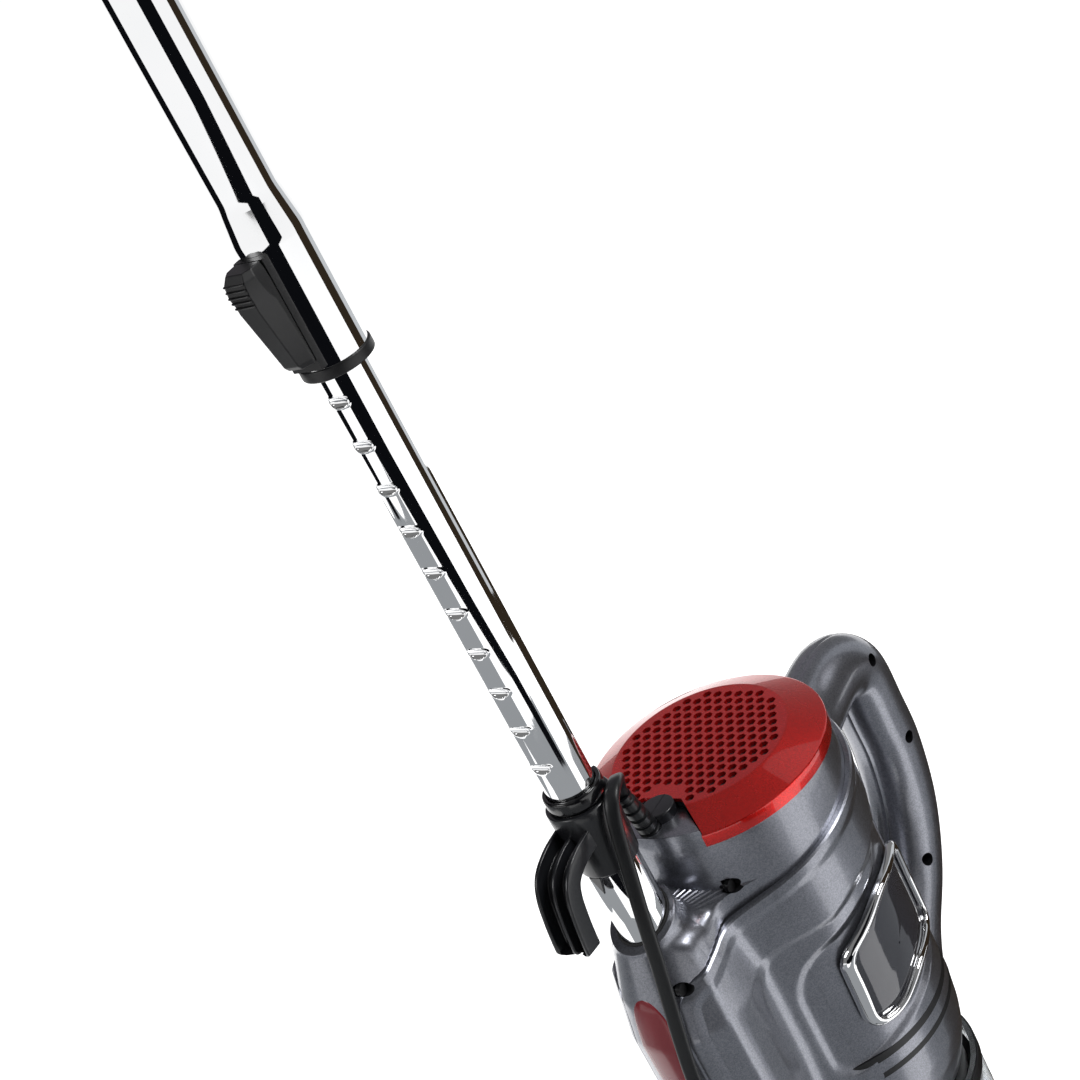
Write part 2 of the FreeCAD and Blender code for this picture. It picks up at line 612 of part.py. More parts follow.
def motor():
    can_top, can_foot = level(CAN_TOP), level(CAN_FOOT)
    bearing_low = can_top - CAN_WALL - BEARING_H
    seat = tube(BEARING_R + 2, BEARING_R, bearing_low, can_top)
    can = disc(MOTOR_R, can_foot, can_top).cut(disc(MOTOR_R - CAN_WALL, can_foot + CAN_WALL, can_top - CAN_WALL))
    can = can.cut(disc(INLET_R, can_foot - 1, can_foot + 5)).cut(disc(SHAFT_R + 1, can_top - 5, can_top + 1))
    for i in range(8):
        angle = math.radians(45 * i)
        vent = rod(5, (30 * math.cos(angle), 30 * math.sin(angle), can_top - 8),
                   (60 * math.cos(angle), 60 * math.sin(angle), can_top - 8))
        can = can.cut(vent)
    save("motor_can", joined([can, seat.common(disc(40, bearing_low, can_top - CAN_WALL))]))
    save("motor_mount", tube(MOTOR_R + 4, MOTOR_R - 16, can_foot - MOUNT_H, can_foot))
    plate_top = can_foot - MOUNT_H
    plate_r = BODY_R - COLLAR_STEP + GAP
    bulkhead = disc(plate_r, plate_top - BULKHEAD, plate_top).cut(disc(INLET_R, 0, plate_top + 1))
    save("motor_bulkhead", bulkhead)
    shroud_low = can_foot + CAN_WALL + 22
    diaphragm = disc(MOTOR_R - CAN_WALL, shroud_low, shroud_low + 3).cut(disc(SHAFT_R + 1, 0, GRILLE_Z))
    lower_seat = tube(BEARING_R + 2, BEARING_R, shroud_low + 3, shroud_low + 3 + BEARING_H)
    for i in range(6):
        angle = math.radians(60 * i)
        diaphragm = diaphragm.cut(disc(4, shroud_low - 1, shroud_low + 4, 34 * math.cos(angle), 34 * math.sin(angle)))
    save("fan_diaphragm", joined([diaphragm, lower_seat]))
    bearings = [tube(BEARING_R, SHAFT_R + RUN, low, low + BEARING_H) for low in (bearing_low, shroud_low + 3)]
    save("motor_bearings", Part.makeCompound(bearings))
    core_low = shroud_low + 3 + BEARING_H + 3
    stator = tube(MOTOR_R - CAN_WALL, ARMATURE_R + AIR_GAP, core_low, core_low + CORE_H)
    for side in (-1, 1):
        stator = stator.cut(box(side * 37 - 4, side * 37 + 4, -12, 12, core_low - 1, core_low + CORE_H + 1))
    save("motor_stator", stator)
    brush_z = (core_low + CORE_H + bearing_low) / 2
    near, far = COMMUTATOR_R + RUN, MOTOR_R - CAN_WALL - 0.5
    brushes = [box(*sorted((side * near, side * far)), -4, 4, brush_z - 4, brush_z + 4) for side in (-1, 1)]
    save("carbon_brushes", Part.makeCompound(brushes))
    rotor(can_foot, bearing_low, core_low)


def rotor(can_foot, bearing_low, core_low):
    shaft = disc(SHAFT_R, can_foot + 3, bearing_low + BEARING_H)
    save("motor_shaft", shaft)
    core = tube(ARMATURE_R, SHAFT_R, core_low, core_low + CORE_H)
    slots = []
    for i in range(12):
        angle = math.radians(30 * i)
        x, y = (ARMATURE_R - 1) * math.cos(angle), (ARMATURE_R - 1) * math.sin(angle)
        slots.append(disc(1.6, core_low - 1, core_low + CORE_H + 1, x, y))
    commutator = tube(COMMUTATOR_R, SHAFT_R, core_low + CORE_H + 1, bearing_low - 1)
    save("armature", Part.makeCompound([core.cut(Part.makeCompound(slots)), commutator]))
    low = can_foot + CAN_WALL + 4
    plates = [tube(FAN_R, SHAFT_R, low + 14, low + 16), tube(FAN_R, INLET_R - 2, low, low + 2)]
    blades = []
    for i in range(9):
        blade = box(INLET_R, FAN_R - 1, -0.8, 0.8, low + 1, low + 15)
        blade.rotate(V(INLET_R, 0, 0), UP, 38)
        blade = blade.common(disc(FAN_R, low, low + 16))
        blade.rotate(V(0, 0, 0), UP, 40 * i)
        blades.append(blade)
    save("fan_impeller", joined(plates + blades))


# ---------------------------------------------------------------- switch

SWITCH_DROP = 128.0
SWITCH_HALF = 5.0
SWITCH_TRAVEL = 6.0


def switch_slot():
    """The slot for the switch in the handle's outer face."""
    return box(-SWITCH_HALF - GAP, SWITCH_HALF + GAP, -HANDLE_REACH - 30, -HANDLE_REACH + 4,
               level(SWITCH_DROP + 9.5 + SWITCH_TRAVEL), level(SWITCH_DROP - 8.5))


def power_switch():
    face = -(HANDLE_REACH + HANDLE_R)
    z = level(SWITCH_DROP)
    key = box(-SWITCH_HALF, SWITCH_HALF, face + 5, face + 13, z - 9, z + 8)
    tooth = prism([(face + 6, z - 8), (face + 1, z - 4), (face + 1, z + 1), (face + 6, z + 7)],
                  -SWITCH_HALF, SWITCH_HALF, "x")
    save("switch_slider", joined([key, tooth]))
    body = box(-7, 7, face + 13 + GAP, face + 24, z - 6, z + 8)
    save("switch_body", body)


# ---------------------------------------------------------------- pole

def notched(solid):
    cuts = []
    for i in range(NOTCHES):
        z = GRILLE_Z + NOTCH_TOP - i * NOTCH_PITCH
        y = POLE_Y + LOWER_R - NOTCH_DEPTH + NOTCH_R
        cuts.append(rod(NOTCH_R, (-20, y, z), (20, y, z)))
    return solid.cut(Part.makeCompound(cuts))


def lower_pole():
    inner = LOWER_R - LOWER_WALL
    lower = tube(LOWER_R, inner, level(STUB_DEPTH - 35), GRILLE_Z + LOWER_RISE, 0, POLE_Y)
    save("lower_tube", notched(lower))
    stub = tube(STUB_R, LOWER_R, level(STUB_DEPTH), GRILLE_Z + 5, 0, POLE_Y)
    hole = rod(4.0, (0, POLE_Y, level(83)), (0, POLE_Y + 30, level(83)))
    save("pole_stub", stub.cut(hole))


def hook_arm(line):
    """A channel with two cheeks and a middle rib, open on its outer side."""
    half, wall = HOOK_HALF, HOOK_WALL
    arm = ribbon(line, HOOK_DEPTH / 2, -HOOK_DEPTH / 2, -half, half)
    short = line[1:-1] + [tuple((a * 3 + b) / 4 for a, b in zip(line[-1], line[-2]))]
    for x0, x1 in ((-half + wall, -wall / 2), (wall / 2, half - wall)):
        arm = arm.cut(ribbon(short, HOOK_DEPTH / 2 - wall - 0.6, -HOOK_DEPTH, x0, x1))
    return arm


def lower_hook():
    line = [(POLE_Y + y, GRILLE_Z + z) for y, z in HOOK_LINE]
    profile = [(LOWER_R + 0.05, GRILLE_Z + 39), (COLLAR_R, GRILLE_Z + 39), (COLLAR_R, GRILLE_Z + 33),
               (STUB_R + 1.2, GRILLE_Z + 5), (STUB_R, GRILLE_Z + 5), (LOWER_R + 0.05, GRILLE_Z + 5)]
    collar = turned(profile, 0, POLE_Y)
    tab = prism([(-3, GRILLE_Z + 5.5), (3, GRILLE_Z + 5.5), (0, GRILLE_Z - 4)], POLE_Y + STUB_R,
                POLE_Y + STUB_R + 1.2, "y")
    whole = joined([collar, hook_arm(line), tab]).cut(disc(LOWER_R + 0.05, GRILLE_Z, GRILLE_Z + 60, 0, POLE_Y))
    save("lower_hook", whole.cut(disc(STUB_R, GRILLE_Z - 60, GRILLE_Z + 5, 0, POLE_Y)))


def upper_hook():
    low = GRILLE_Z + UPPER_HOOK_RISE
    line = [(POLE_Y + y, low + 30 - z) for y, z in HOOK_LINE]
    collar = tube(UPPER_R + 3, UPPER_R + GAP, low - 8, low + 14, 0, POLE_Y)
    arm = ribbon(line, -HOOK_DEPTH / 2, HOOK_DEPTH / 2, -HOOK_HALF, HOOK_HALF)
    short = line[1:-1] + [tuple((a * 3 + b) / 4 for a, b in zip(line[-1], line[-2]))]
    for x0, x1 in ((-HOOK_HALF + HOOK_WALL, -HOOK_WALL / 2), (HOOK_WALL / 2, HOOK_HALF - HOOK_WALL)):
        arm = arm.cut(ribbon(short, -HOOK_DEPTH / 2 + HOOK_WALL + 0.6, HOOK_DEPTH, x0, x1))
    save("upper_hook", joined([collar, arm]).cut(disc(UPPER_R + GAP, low - 20, low + 60, 0, POLE_Y)))


def cord_clip():
    """A springy open ring on the lower tube, with a small jaw towards the lead."""
    low = GRILLE_Z + CLIP_RISE + 1.3
    ring = tube(LOWER_R + CLIP_T, LOWER_R, low, low + CLIP_H, 0, POLE_Y)
    slot = box(-30, 0, POLE_Y - 30, POLE_Y - 2, low - 1, low + CLIP_H + 1)
    slot.rotate(V(0, POLE_Y, 0), UP, 60)
    save("cord_clip", ring.cut(slot))


def latch_slot(extra):
    """The window that the latch pin works through."""
    z = GRILLE_Z + NOTCH_TOP
    return box(-5.5, 5.5, POLE_Y + 5, POLE_Y + 30, z - 4 - extra, z + 4 + LATCH_TRAVEL)


def upper_pole():
    """The outer tube with its flare, the flange, and the bush whose saddle carries the latch."""
    z0, z1, z2 = GRILLE_Z + FLARE_FOOT, GRILLE_Z + FLARE_TOP, GRILLE_Z + FLARE_END
    top = GRILLE_Z + UPPER_RISE
    w = UPPER_WALL
    profile = [(FLARE_R, z0), (FLARE_R, z1), (UPPER_R, z2), (UPPER_R, top), (UPPER_R - w, top),
               (UPPER_R - w, z2), (FLARE_R - w, z1), (FLARE_R - w, z0)]
    slot = latch_slot(LUG)
    save("upper_tube", turned(profile, 0, POLE_Y).cut(slot))
    save("tube_flange", tube(FLANGE_R, LOWER_R + GAP, z0 - FLANGE_H, z0, 0, POLE_Y))
    bush = tube(FLARE_R - w, LOWER_R + GAP, z0, z1 - 4, 0, POLE_Y)
    seat = POLE_Y + FLARE_R
    saddle = box(-LATCH_HALF, LATCH_HALF, POLE_Y + 8, seat + SADDLE, GRILLE_Z + LATCH_FOOT - 4, GRILLE_Z + LATCH_TOP)
    saddle = saddle.cut(disc(FLARE_R, z0 - 10, z1 + 20, 0, POLE_Y))
    foot = GRILLE_Z + NOTCH_TOP - 4
    lug = box(-5.5, 5.5, POLE_Y + LOWER_R + 1, seat + 0.5, foot - LUG, foot)
    save("slide_bush", joined([bush, saddle, lug]).cut(latch_slot(0)))


def tube_latch():
    """The thumb latch: a ribbed slider with its cross pin, and its spring."""
    low, top = GRILLE_Z + LATCH_FOOT, GRILLE_Z + LATCH_TOP
    seat = POLE_Y + FLARE_R
    pin_z = GRILLE_Z + NOTCH_TOP
    face = POLE_Y + LATCH_FACE
    back = seat + SADDLE + GAP
    corners = [(back, low), (face, low), (face, top - 12), (face + 1, top - 4), (face - 2, top), (back, top)]
    slider = prism(corners, -LATCH_HALF, LATCH_HALF, "x")
    slider = slider.cut(box(-5, 5, back - 1, face - 3, low + 2, top - 14))
    for i in range(5):
        z = top - 13 + i * 2.2
        slider = slider.cut(box(-LATCH_HALF, LATCH_HALF, face - 0.3, face + 3, z, z + 1))
    stalk = box(-4.5, 4.5, POLE_Y + LOWER_R + GAP + 3.2, face - 2, pin_z - 1.5, pin_z + 1.5)
    pin_y = POLE_Y + LOWER_R + GAP + 1.7
    pin = rod(1.5, (-4.5, pin_y, pin_z), (4.5, pin_y, pin_z))
    save("latch_slider", joined([slider, stalk, pin]))
    spring = tube(2.6, 1.9, pin_z + 1.5, top - 14, 0, (back + face - 3) / 2)
    save("latch_spring", spring)


def grip():
    low = GRILLE_Z + UPPER_RISE
    inner = UPPER_R - UPPER_WALL
    swell = [(15.0, 0.0), (16.4, 10.0), (16.0, 40.0), (GRIP_R, 75.0), (GRIP_R, 105.0), (15.5, 122.0), (9.0, GRIP_LEN)]
    outer = [(0, low)] + [(r, low + z) for r, z in swell] + [(0, low + GRIP_LEN)]
    hollow = [(0, low + 4)] + [(r - GRIP_WALL, low + min(max(z, 4), GRIP_LEN - 4)) for r, z in swell]
    hollow += [(0, low + GRIP_LEN - 4)]
    shell = turned(outer, 0, POLE_Y).cut(turned(hollow, 0, POLE_Y))
    spigot = tube(inner, inner - 3, low - GRIP_SPIGOT, low + 4.5, 0, POLE_Y)
    pad_zone = box(-12, 12, POLE_Y + 6, POLE_Y + 30, low + 18, low + 112)
    shallow = turned([(0, low)] + [(r - 1.2, low + z) for r, z in swell] + [(0, low + GRIP_LEN)], 0, POLE_Y)
    pad = turned(outer, 0, POLE_Y).cut(shallow).common(pad_zone)
    halves("grip", joined([shell, spigot]).cut(pad))
    save("grip_pad", pad)


# ---------------------------------------------------------------- dust cup

def cup_profile(inset):
    rim, floor = level(CUP_TOP_DROP), CUP_FLOOR_Z
    return [(CUP_R - inset, rim), (CUP_R - inset, rim - 30), (CUP_R - CUP_TAPER - inset, floor + 14),
            (CUP_R - 14 - inset * 0.8, floor - 2 + inset * 0.9)]


def dust_cup():
    rim = level(CUP_TOP_DROP)
    outer = [(0, rim)] + cup_profile(0) + [(SPOUT_R + 3, CUP_FLOOR_Z - 9), (SPOUT_R, CUP_FLOOR_Z - 14),
                                           (SPOUT_R, SPOUT_Z), (0, SPOUT_Z)]
    inner = [(0, rim + 1), (CUP_R - CUP_WALL, rim + 1)] + cup_profile(CUP_WALL) + [
        (PIPE_R + PIPE_WALL + 4, CUP_FLOOR_Z - 5), (0, CUP_FLOOR_Z - 5)]
    cup = turned(outer).cut(turned(inner)).cut(disc(PIPE_R + PIPE_WALL, SPOUT_Z - 1, rim))
    half = LATCH_BUTTON_HALF
    z0, z1 = rim - 31, rim - 5
    guard = box(-half - GAP - 2, half + GAP + 2, -CUP_R - 6, -CUP_R + 3, z0, z1)
    guard = guard.cut(box(-half - GAP, half + GAP, -CUP_R - 10, -CUP_R - 0.5, z0 + 2.2, z1 - 2.2))
    guard = guard.cut(disc(CUP_R - 1, z0 - 1, z1 + 1))
    save("dust_cup", joined([cup, guard]))
    pipe = tube(PIPE_R + PIPE_WALL, PIPE_R, SPOUT_Z, PIPE_TOP_Z)
    save("inlet_pipe", pipe)
    save("inlet_flap", disc(PIPE_R + PIPE_WALL + 2, PIPE_TOP_Z, PIPE_TOP_Z + 2))
    button = box(-half, half, -CUP_R - 7, -CUP_R - 3.2, z0 + 2.5, z1 - 2.5)
    save("cup_latch_button", button)


def filter_group():
    """The collar that carries the dust cup, its seal, and the filter that hangs from it."""
    flange_r = BODY_R - COLLAR_STEP + GAP
    top, foot = level(BODY_STRAIGHT), level(SPIGOT_DROP)
    inner = SPIGOT_R - SPIGOT_WALL
    collar = joined([tube(SPIGOT_R, inner, foot, top), tube(flange_r, inner, top, top + 3)])
    save("intake_collar", collar)
    seal_r = CUP_R - CUP_WALL - GAP
    save("cup_seal", tube(seal_r, SPIGOT_R, foot + 6, foot + 10))
    frame = [tube(SPIGOT_R, FILTER_R - 8, foot - 3, foot), disc(FILTER_R, foot - FILTER_H, foot - FILTER_H + 3)]
    for i in range(8):
        bar = box(FILTER_R - 2, FILTER_R, -2, 2, foot - FILTER_H, foot - 1)
        bar.rotate(V(0, 0, 0), UP, 45 * i)
        frame.append(bar)
    save("filter_cage", joined(frame))
    pleats = 24
    outline = []
    for i in range(2 * pleats):
        radius = FILTER_R - 2.5 if i % 2 else FILTER_R - 9
        angle = math.pi * i / pleats
        outline.append((radius * math.cos(angle), radius * math.sin(angle)))
    star = prism(outline, foot - FILTER_H + 3, foot - 3, "z")
    save("pleated_filter", star.cut(disc(FILTER_R - 11, 0, GRILLE_Z)))


# ---------------------------------------------------------------- neck and floor head

def neck():
    """The swivelling elbow: a round socket for the spout on a barrel that rocks in the head."""
    bore = SPOUT_R + GAP
    outer = bore + NECK_WALL
    socket_low = SPOUT_Z - 2
    stem = disc(outer, PIVOT_Z, NECK_TOP_Z)
    barrel = rod(BARREL_R, (-BARREL_HALF, 0, PIVOT_Z), (BARREL_HALF, 0, PIVOT_Z))
    shape = joined([stem, barrel])
    shape = shape.cut(disc(bore, socket_low, NECK_TOP_Z + 1)).cut(disc(PIPE_R, PIVOT_Z, NECK_TOP_Z))
    shape = shape.cut(rod(BARREL_R - NECK_WALL - 2, (-BARREL_HALF + 4, 0, PIVOT_Z), (BARREL_HALF - 4, 0, PIVOT_Z)))
    mouth = box(-BARREL_HALF + 6, BARREL_HALF - 6, -BARREL_R - 1, 0, PIVOT_Z - 12, PIVOT_Z + 6)
    shape = shape.cut(mouth)
    shape = shape.cut(rod(PIN_R + RUN, (-BARREL_HALF - 1, 0, PIVOT_Z), (BARREL_HALF + 1, 0, PIVOT_Z)))
    save("neck_elbow", joined([shape, tube(outer + 2.5, outer, NECK_TOP_Z - 14, NECK_TOP_Z - 2)]))


HEAD_SCREWS = [(-100, -60), (100, -60), (-41, 20), (41, 20)]


def head_outline(inset):
    """Plan of the floor head: a wide bar in front and a yoke behind, seen from above."""
    w, f, r = HEAD_HALF - inset, HEAD_FRONT - inset, HEAD_REAR - inset
    yoke = WHEEL_X - WHEEL_W / 2 - GAP - 1 - inset
    return [(-w + 16, -f), (w - 16, -f), (w, -f + 16), (w, -38 - inset), (w - 14, -24 - inset),
            (yoke, -12 - inset), (yoke, r), (-yoke, r), (-yoke, -12 - inset), (-w + 14, -24 - inset),
            (-w, -38 - inset), (-w, -f + 16)]


def head_cover():
    low = SOLE_Z + SOLE_T
    top = HEAD_H + low
    shell = prism(head_outline(0), low, top, "z")
    slope = [(-HEAD_FRONT - 1, low + 22), (-HEAD_FRONT + 22, low + 30), (-42, low + 36), (-24, top + 1), (-24, top + 40),
             (-HEAD_FRONT - 1, top + 40)]
    shell = shell.cut(prism(slope, -HEAD_HALF - 5, HEAD_HALF + 5, "x"))
    hollow = prism(head_outline(HEAD_WALL), low - 1, top - HEAD_WALL, "z")
    w = HEAD_WALL
    inner_slope = [(-HEAD_FRONT - 1, low + 22 - w), (-HEAD_FRONT + 22, low + 30 - w), (-42, low + 36 - w),
                   (-24, top + 1 - w), (-24, top + 40), (-HEAD_FRONT - 1, top + 40)]
    hollow = hollow.cut(prism(inner_slope, -HEAD_HALF - 5, HEAD_HALF + 5, "x"))
    whole = shell
    shell = shell.cut(hollow)
    for x, y in HEAD_SCREWS:
        post = disc(4.0, low, top, x, y).cut(disc(SCREW_R, low, low + 6, x, y))
        shell = joined([shell, post.common(whole)])
    room = BARREL_HALF + GAP + 0.2
    cheek = [box(side * (room + 3) - 3, side * (room + 3) + 3, -HEAD_WALL - 22, HEAD_REAR - 1, low, top - 1)
             for side in (-1, 1)]
    shell = joined([shell] + cheek)
    swing = rod(BARREL_R + 0.6, (-room, 0, PIVOT_Z), (room, 0, PIVOT_Z))
    opening = box(-room, room, -2, HEAD_REAR + 5, PIVOT_Z - 24, top + 5)
    tilt = box(-room, room, -BARREL_R - 3, 5, PIVOT_Z + 2, top + 5)
    shell = shell.cut(swing).cut(opening).cut(tilt)
    shell = shell.cut(rod(PIN_R, (-room - 7, 0, PIVOT_Z), (room + 7, 0, PIVOT_Z)))
    shell = shell.cut(box(-room, room, -24 - 12, 0, PIVOT_Z - 12, PIVOT_Z + 2))
    for side in (-1, 1):
        arm_x = side * (WHEEL_X - WHEEL_W / 2 - GAP - 4.5)
        arm = box(arm_x - 3.4, arm_x + 3.4, 0, WHEEL_Y + 6, low, WHEEL_R + 7)
        shell = joined([shell, arm]).cut(rod(AXLE_R, (arm_x - 6, WHEEL_Y, WHEEL_R), (arm_x + 6, WHEEL_Y, WHEEL_R)))
    save("head_cover", shell)


def head_sole():
    low, top = SOLE_Z, SOLE_Z + SOLE_T
    plate = prism(head_outline(0), low, top, "z")
    throat = box(-THROAT_HALF, THROAT_HALF, -HEAD_FRONT + 22, -HEAD_FRONT + 22 + THROAT_LEN, low - 1, top + 1)
    plate = plate.cut(throat).cut(box(-BARREL_HALF - 2, BARREL_HALF + 2, 2, 60, low - 1, top + 1))
    for x, y in HEAD_SCREWS:
        plate = plate.cut(disc(SCREW_R, low - 1, top + 1, x, y))
    save("head_sole", plate)
    bristle = box(-THROAT_HALF, THROAT_HALF, -HEAD_FRONT + 8, -HEAD_FRONT + 14, 0, SOLE_Z)
    rear = box(-THROAT_HALF + 20, THROAT_HALF - 20, -HEAD_FRONT + 56, -HEAD_FRONT + 61, 0, SOLE_Z)
    save("bristle_strips", Part.makeCompound([bristle, rear]))
    bumper_out = prism(head_outline(-2.0), low + 6, low + 16, "z").cut(prism(head_outline(0), low, low + 20, "z"))
    front_only = box(-HEAD_HALF - 5, HEAD_HALF + 5, -HEAD_FRONT - 5, -44, 0, 60)
    save("bumper", bumper_out.common(front_only))


def wheels():
    width = WHEEL_W / 2
    for side, name in ((-1, "left"), (1, "right")):
        x = side * WHEEL_X
        wheel = rod(WHEEL_R, (x - width, WHEEL_Y, WHEEL_R), (x + width, WHEEL_Y, WHEEL_R))
        wheel = wheel.cut(rod(WHEEL_R - 6, (x + side * (width - 3), WHEEL_Y, WHEEL_R),
                              (x + side * (width + 1), WHEEL_Y, WHEEL_R)))
        wheel = wheel.cut(rod(AXLE_R + RUN, (x - 20, WHEEL_Y, WHEEL_R), (x + 20, WHEEL_Y, WHEEL_R)))
        save(f"wheel_{name}", wheel)
    inner = WHEEL_X - width - GAP - 9
    room = BARREL_HALF + GAP + 0.2
    axles = [rod(PIN_R, (side * (BARREL_HALF - 3.6), 0, PIVOT_Z), (side * (room + 6), 0, PIVOT_Z)) for side in (-1, 1)]
    for side in (-1, 1):
        stub_axle = rod(AXLE_R, (side * inner, WHEEL_Y, WHEEL_R), (side * (WHEEL_X + width), WHEEL_Y, WHEEL_R))
        x = side * (WHEEL_X + width - 2.7)
        cap = rod(AXLE_R + 2, (x, WHEEL_Y, WHEEL_R), (x + side * 2, WHEEL_Y, WHEEL_R))
        axles.append(joined([stub_axle, cap]))
    for x, y in HEAD_SCREWS:
        head = disc(3.2, SOLE_Z - 1.5, SOLE_Z, x, y)
        axles.append(joined([head, disc(SCREW_R, SOLE_Z, SOLE_Z + SOLE_T + 6, x, y)]))
    save("head_fasteners", Part.makeCompound(axles))


# ---------------------------------------------------------------- mains lead

def lead():
    """The hanging lead, its coil on the floor, the short tail and the moulded two-pin plug."""
    section = math.pi * CORD_D ** 2 / 4
    total = 0
    tubes = []
    for route in ([(x, y, z + GRILLE_Z) for x, y, z in CORD_ROUTE], TAIL_ROUTE):
        shape, length, radii = piped(route, CORD_D / 2)
        tubes.append(shape)
        total += length
        print("cord tube", round(length, 1), "volume share", round(shape.Volume / (length * section), 4))
        print("radii", [round(r, 1) for r in radii])
    save("cord", Part.makeCompound(tubes))
    turns = COIL_ROWS * COIL_COLUMNS + 0.5
    total += turns * 2 * math.pi * COIL_R
    print("cord length in all", round(total, 1))
    half = COIL_COLUMNS * CORD_W / 2
    save("cord_coil", tube(COIL_R + half, COIL_R - half, 0, COIL_ROWS * CORD_W, COIL_X, COIL_Y))
    x, y, z = TAIL_ROUTE[-1]
    profile = [(0, -2), (3.6, -2), (5.2, 14), (9.0, 17), (11.5, 26), (12.0, 36), (PLUG_R, 39), (PLUG_R, 45), (0, 45)]
    body = turned(profile)
    body.Placement = FreeCAD.Placement(V(x, y, z), FreeCAD.Rotation(UP, V(0, -1, 0)))
    save("plug_body", body.cut(rod(CORD_D / 2, (x, y + 5, z), (x, y, z))))
    pins = [rod(PLUG_PIN_R, (x + side * PIN_SPACING / 2, y - 45, z), (x + side * PIN_SPACING / 2, y - 45 - PLUG_PIN_LEN, z))
            for side in (-1, 1)]
    save("plug_pins", Part.makeCompound(pins))


def main():
    os.makedirs("parts", exist_ok=True)
    rear_housing()
    side_panel("side_panel_left", -1)
    side_panel("side_panel_right", 1)
    window_parts()
    screws()
    grille_cap()
    exhaust()
    strain_relief()
    pole_socket()
    release_button()
    motor()
    power_switch()
    lower_pole()
    lower_hook()
    upper_hook()
    cord_clip()
    upper_pole()
    tube_latch()
    grip()
    dust_cup()
    filter_group()
    neck()
    head_cover()
    head_sole()
    wheels()
    lead()


main()
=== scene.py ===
import bpy
import bmesh
import math
import numpy as np
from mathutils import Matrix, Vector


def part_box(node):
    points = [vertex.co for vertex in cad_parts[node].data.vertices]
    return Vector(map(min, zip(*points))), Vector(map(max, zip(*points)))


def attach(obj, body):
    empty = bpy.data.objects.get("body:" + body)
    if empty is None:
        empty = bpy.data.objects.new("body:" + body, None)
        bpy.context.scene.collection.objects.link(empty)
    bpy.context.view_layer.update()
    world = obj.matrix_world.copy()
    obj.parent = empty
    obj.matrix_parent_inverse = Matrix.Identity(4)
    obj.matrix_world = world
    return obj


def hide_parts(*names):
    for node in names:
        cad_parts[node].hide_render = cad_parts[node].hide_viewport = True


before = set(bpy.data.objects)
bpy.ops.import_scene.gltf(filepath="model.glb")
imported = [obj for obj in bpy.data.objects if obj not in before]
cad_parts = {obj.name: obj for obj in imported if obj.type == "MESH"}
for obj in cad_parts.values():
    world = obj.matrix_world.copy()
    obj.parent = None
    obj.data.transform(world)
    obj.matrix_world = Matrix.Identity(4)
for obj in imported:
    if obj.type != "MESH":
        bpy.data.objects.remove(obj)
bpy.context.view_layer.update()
scene = bpy.context.scene

# Lengths are millimetres from the body axis and the top face of the exhaust grille, +Z up.
MM = 0.001
POLE_Y = 79.4
GRILLE_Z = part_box("grille_cap")[1][2] / MM
AXIS_Y = (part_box("lower_tube")[0][1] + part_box("lower_tube")[1][1]) / 2 / MM - POLE_Y
ORIGIN = np.array([0.0, AXIS_Y, GRILLE_Z])
FLOOR = -GRILLE_Z


def place(points):
    """Millimetres from the grille centre turned into metres in the shared frame."""
    return (np.asarray(points, float) + ORIGIN) * MM


# ---------------------------------------------------------------- camera

CAMERA_AT = (-627.2, 653.6, 558.2)
CAMERA_TURN = (61.658, 24.735, -147.612)     # degrees
CAMERA_LENS = 79.36

camera = bpy.data.objects.new("camera", bpy.data.cameras.new("camera"))
camera.location = place(CAMERA_AT)
camera.rotation_euler = [math.radians(a) for a in CAMERA_TURN]
camera.data.lens = CAMERA_LENS
camera.data.sensor_width = 36
scene.collection.objects.link(camera)
scene.camera = camera


# ---------------------------------------------------------------- materials

def linear(code):
    """An sRGB hex colour as linear red, green, blue and alpha."""
    parts = [int(code[i:i + 2], 16) / 255 for i in (1, 3, 5)]
    curved = [c / 12.92 if c <= 0.04045 else ((c + 0.055) / 1.055) ** 2.4 for c in parts]
    return tuple(curved) + (1.0,)


def add(tree, kind, sockets=None, **settings):
    """Adds a node. Sockets gives numbered inputs; a setting is a property or a named input. An input
    takes a value, or another node's output to link."""
    node = tree.nodes.new("ShaderNode" + kind)
    wanted = [(node.inputs[number], value) for number, value in (sockets or {}).items()]
    for name, value in settings.items():
        if node.inputs.get(name.replace("_", " ")) is None:
            setattr(node, name, value)
        else:
            wanted.append((node.inputs[name.replace("_", " ")], value))
    for socket, value in wanted:
        if isinstance(value, bpy.types.NodeSocket):
            tree.links.new(value, socket)
        else:
            socket.default_value = value
    return node


def blank(name):
    """A new material, its node tree and its shader."""
    material = bpy.data.materials.new(name)
    material.use_nodes = True
    return material, material.node_tree, material.node_tree.nodes["Principled BSDF"]


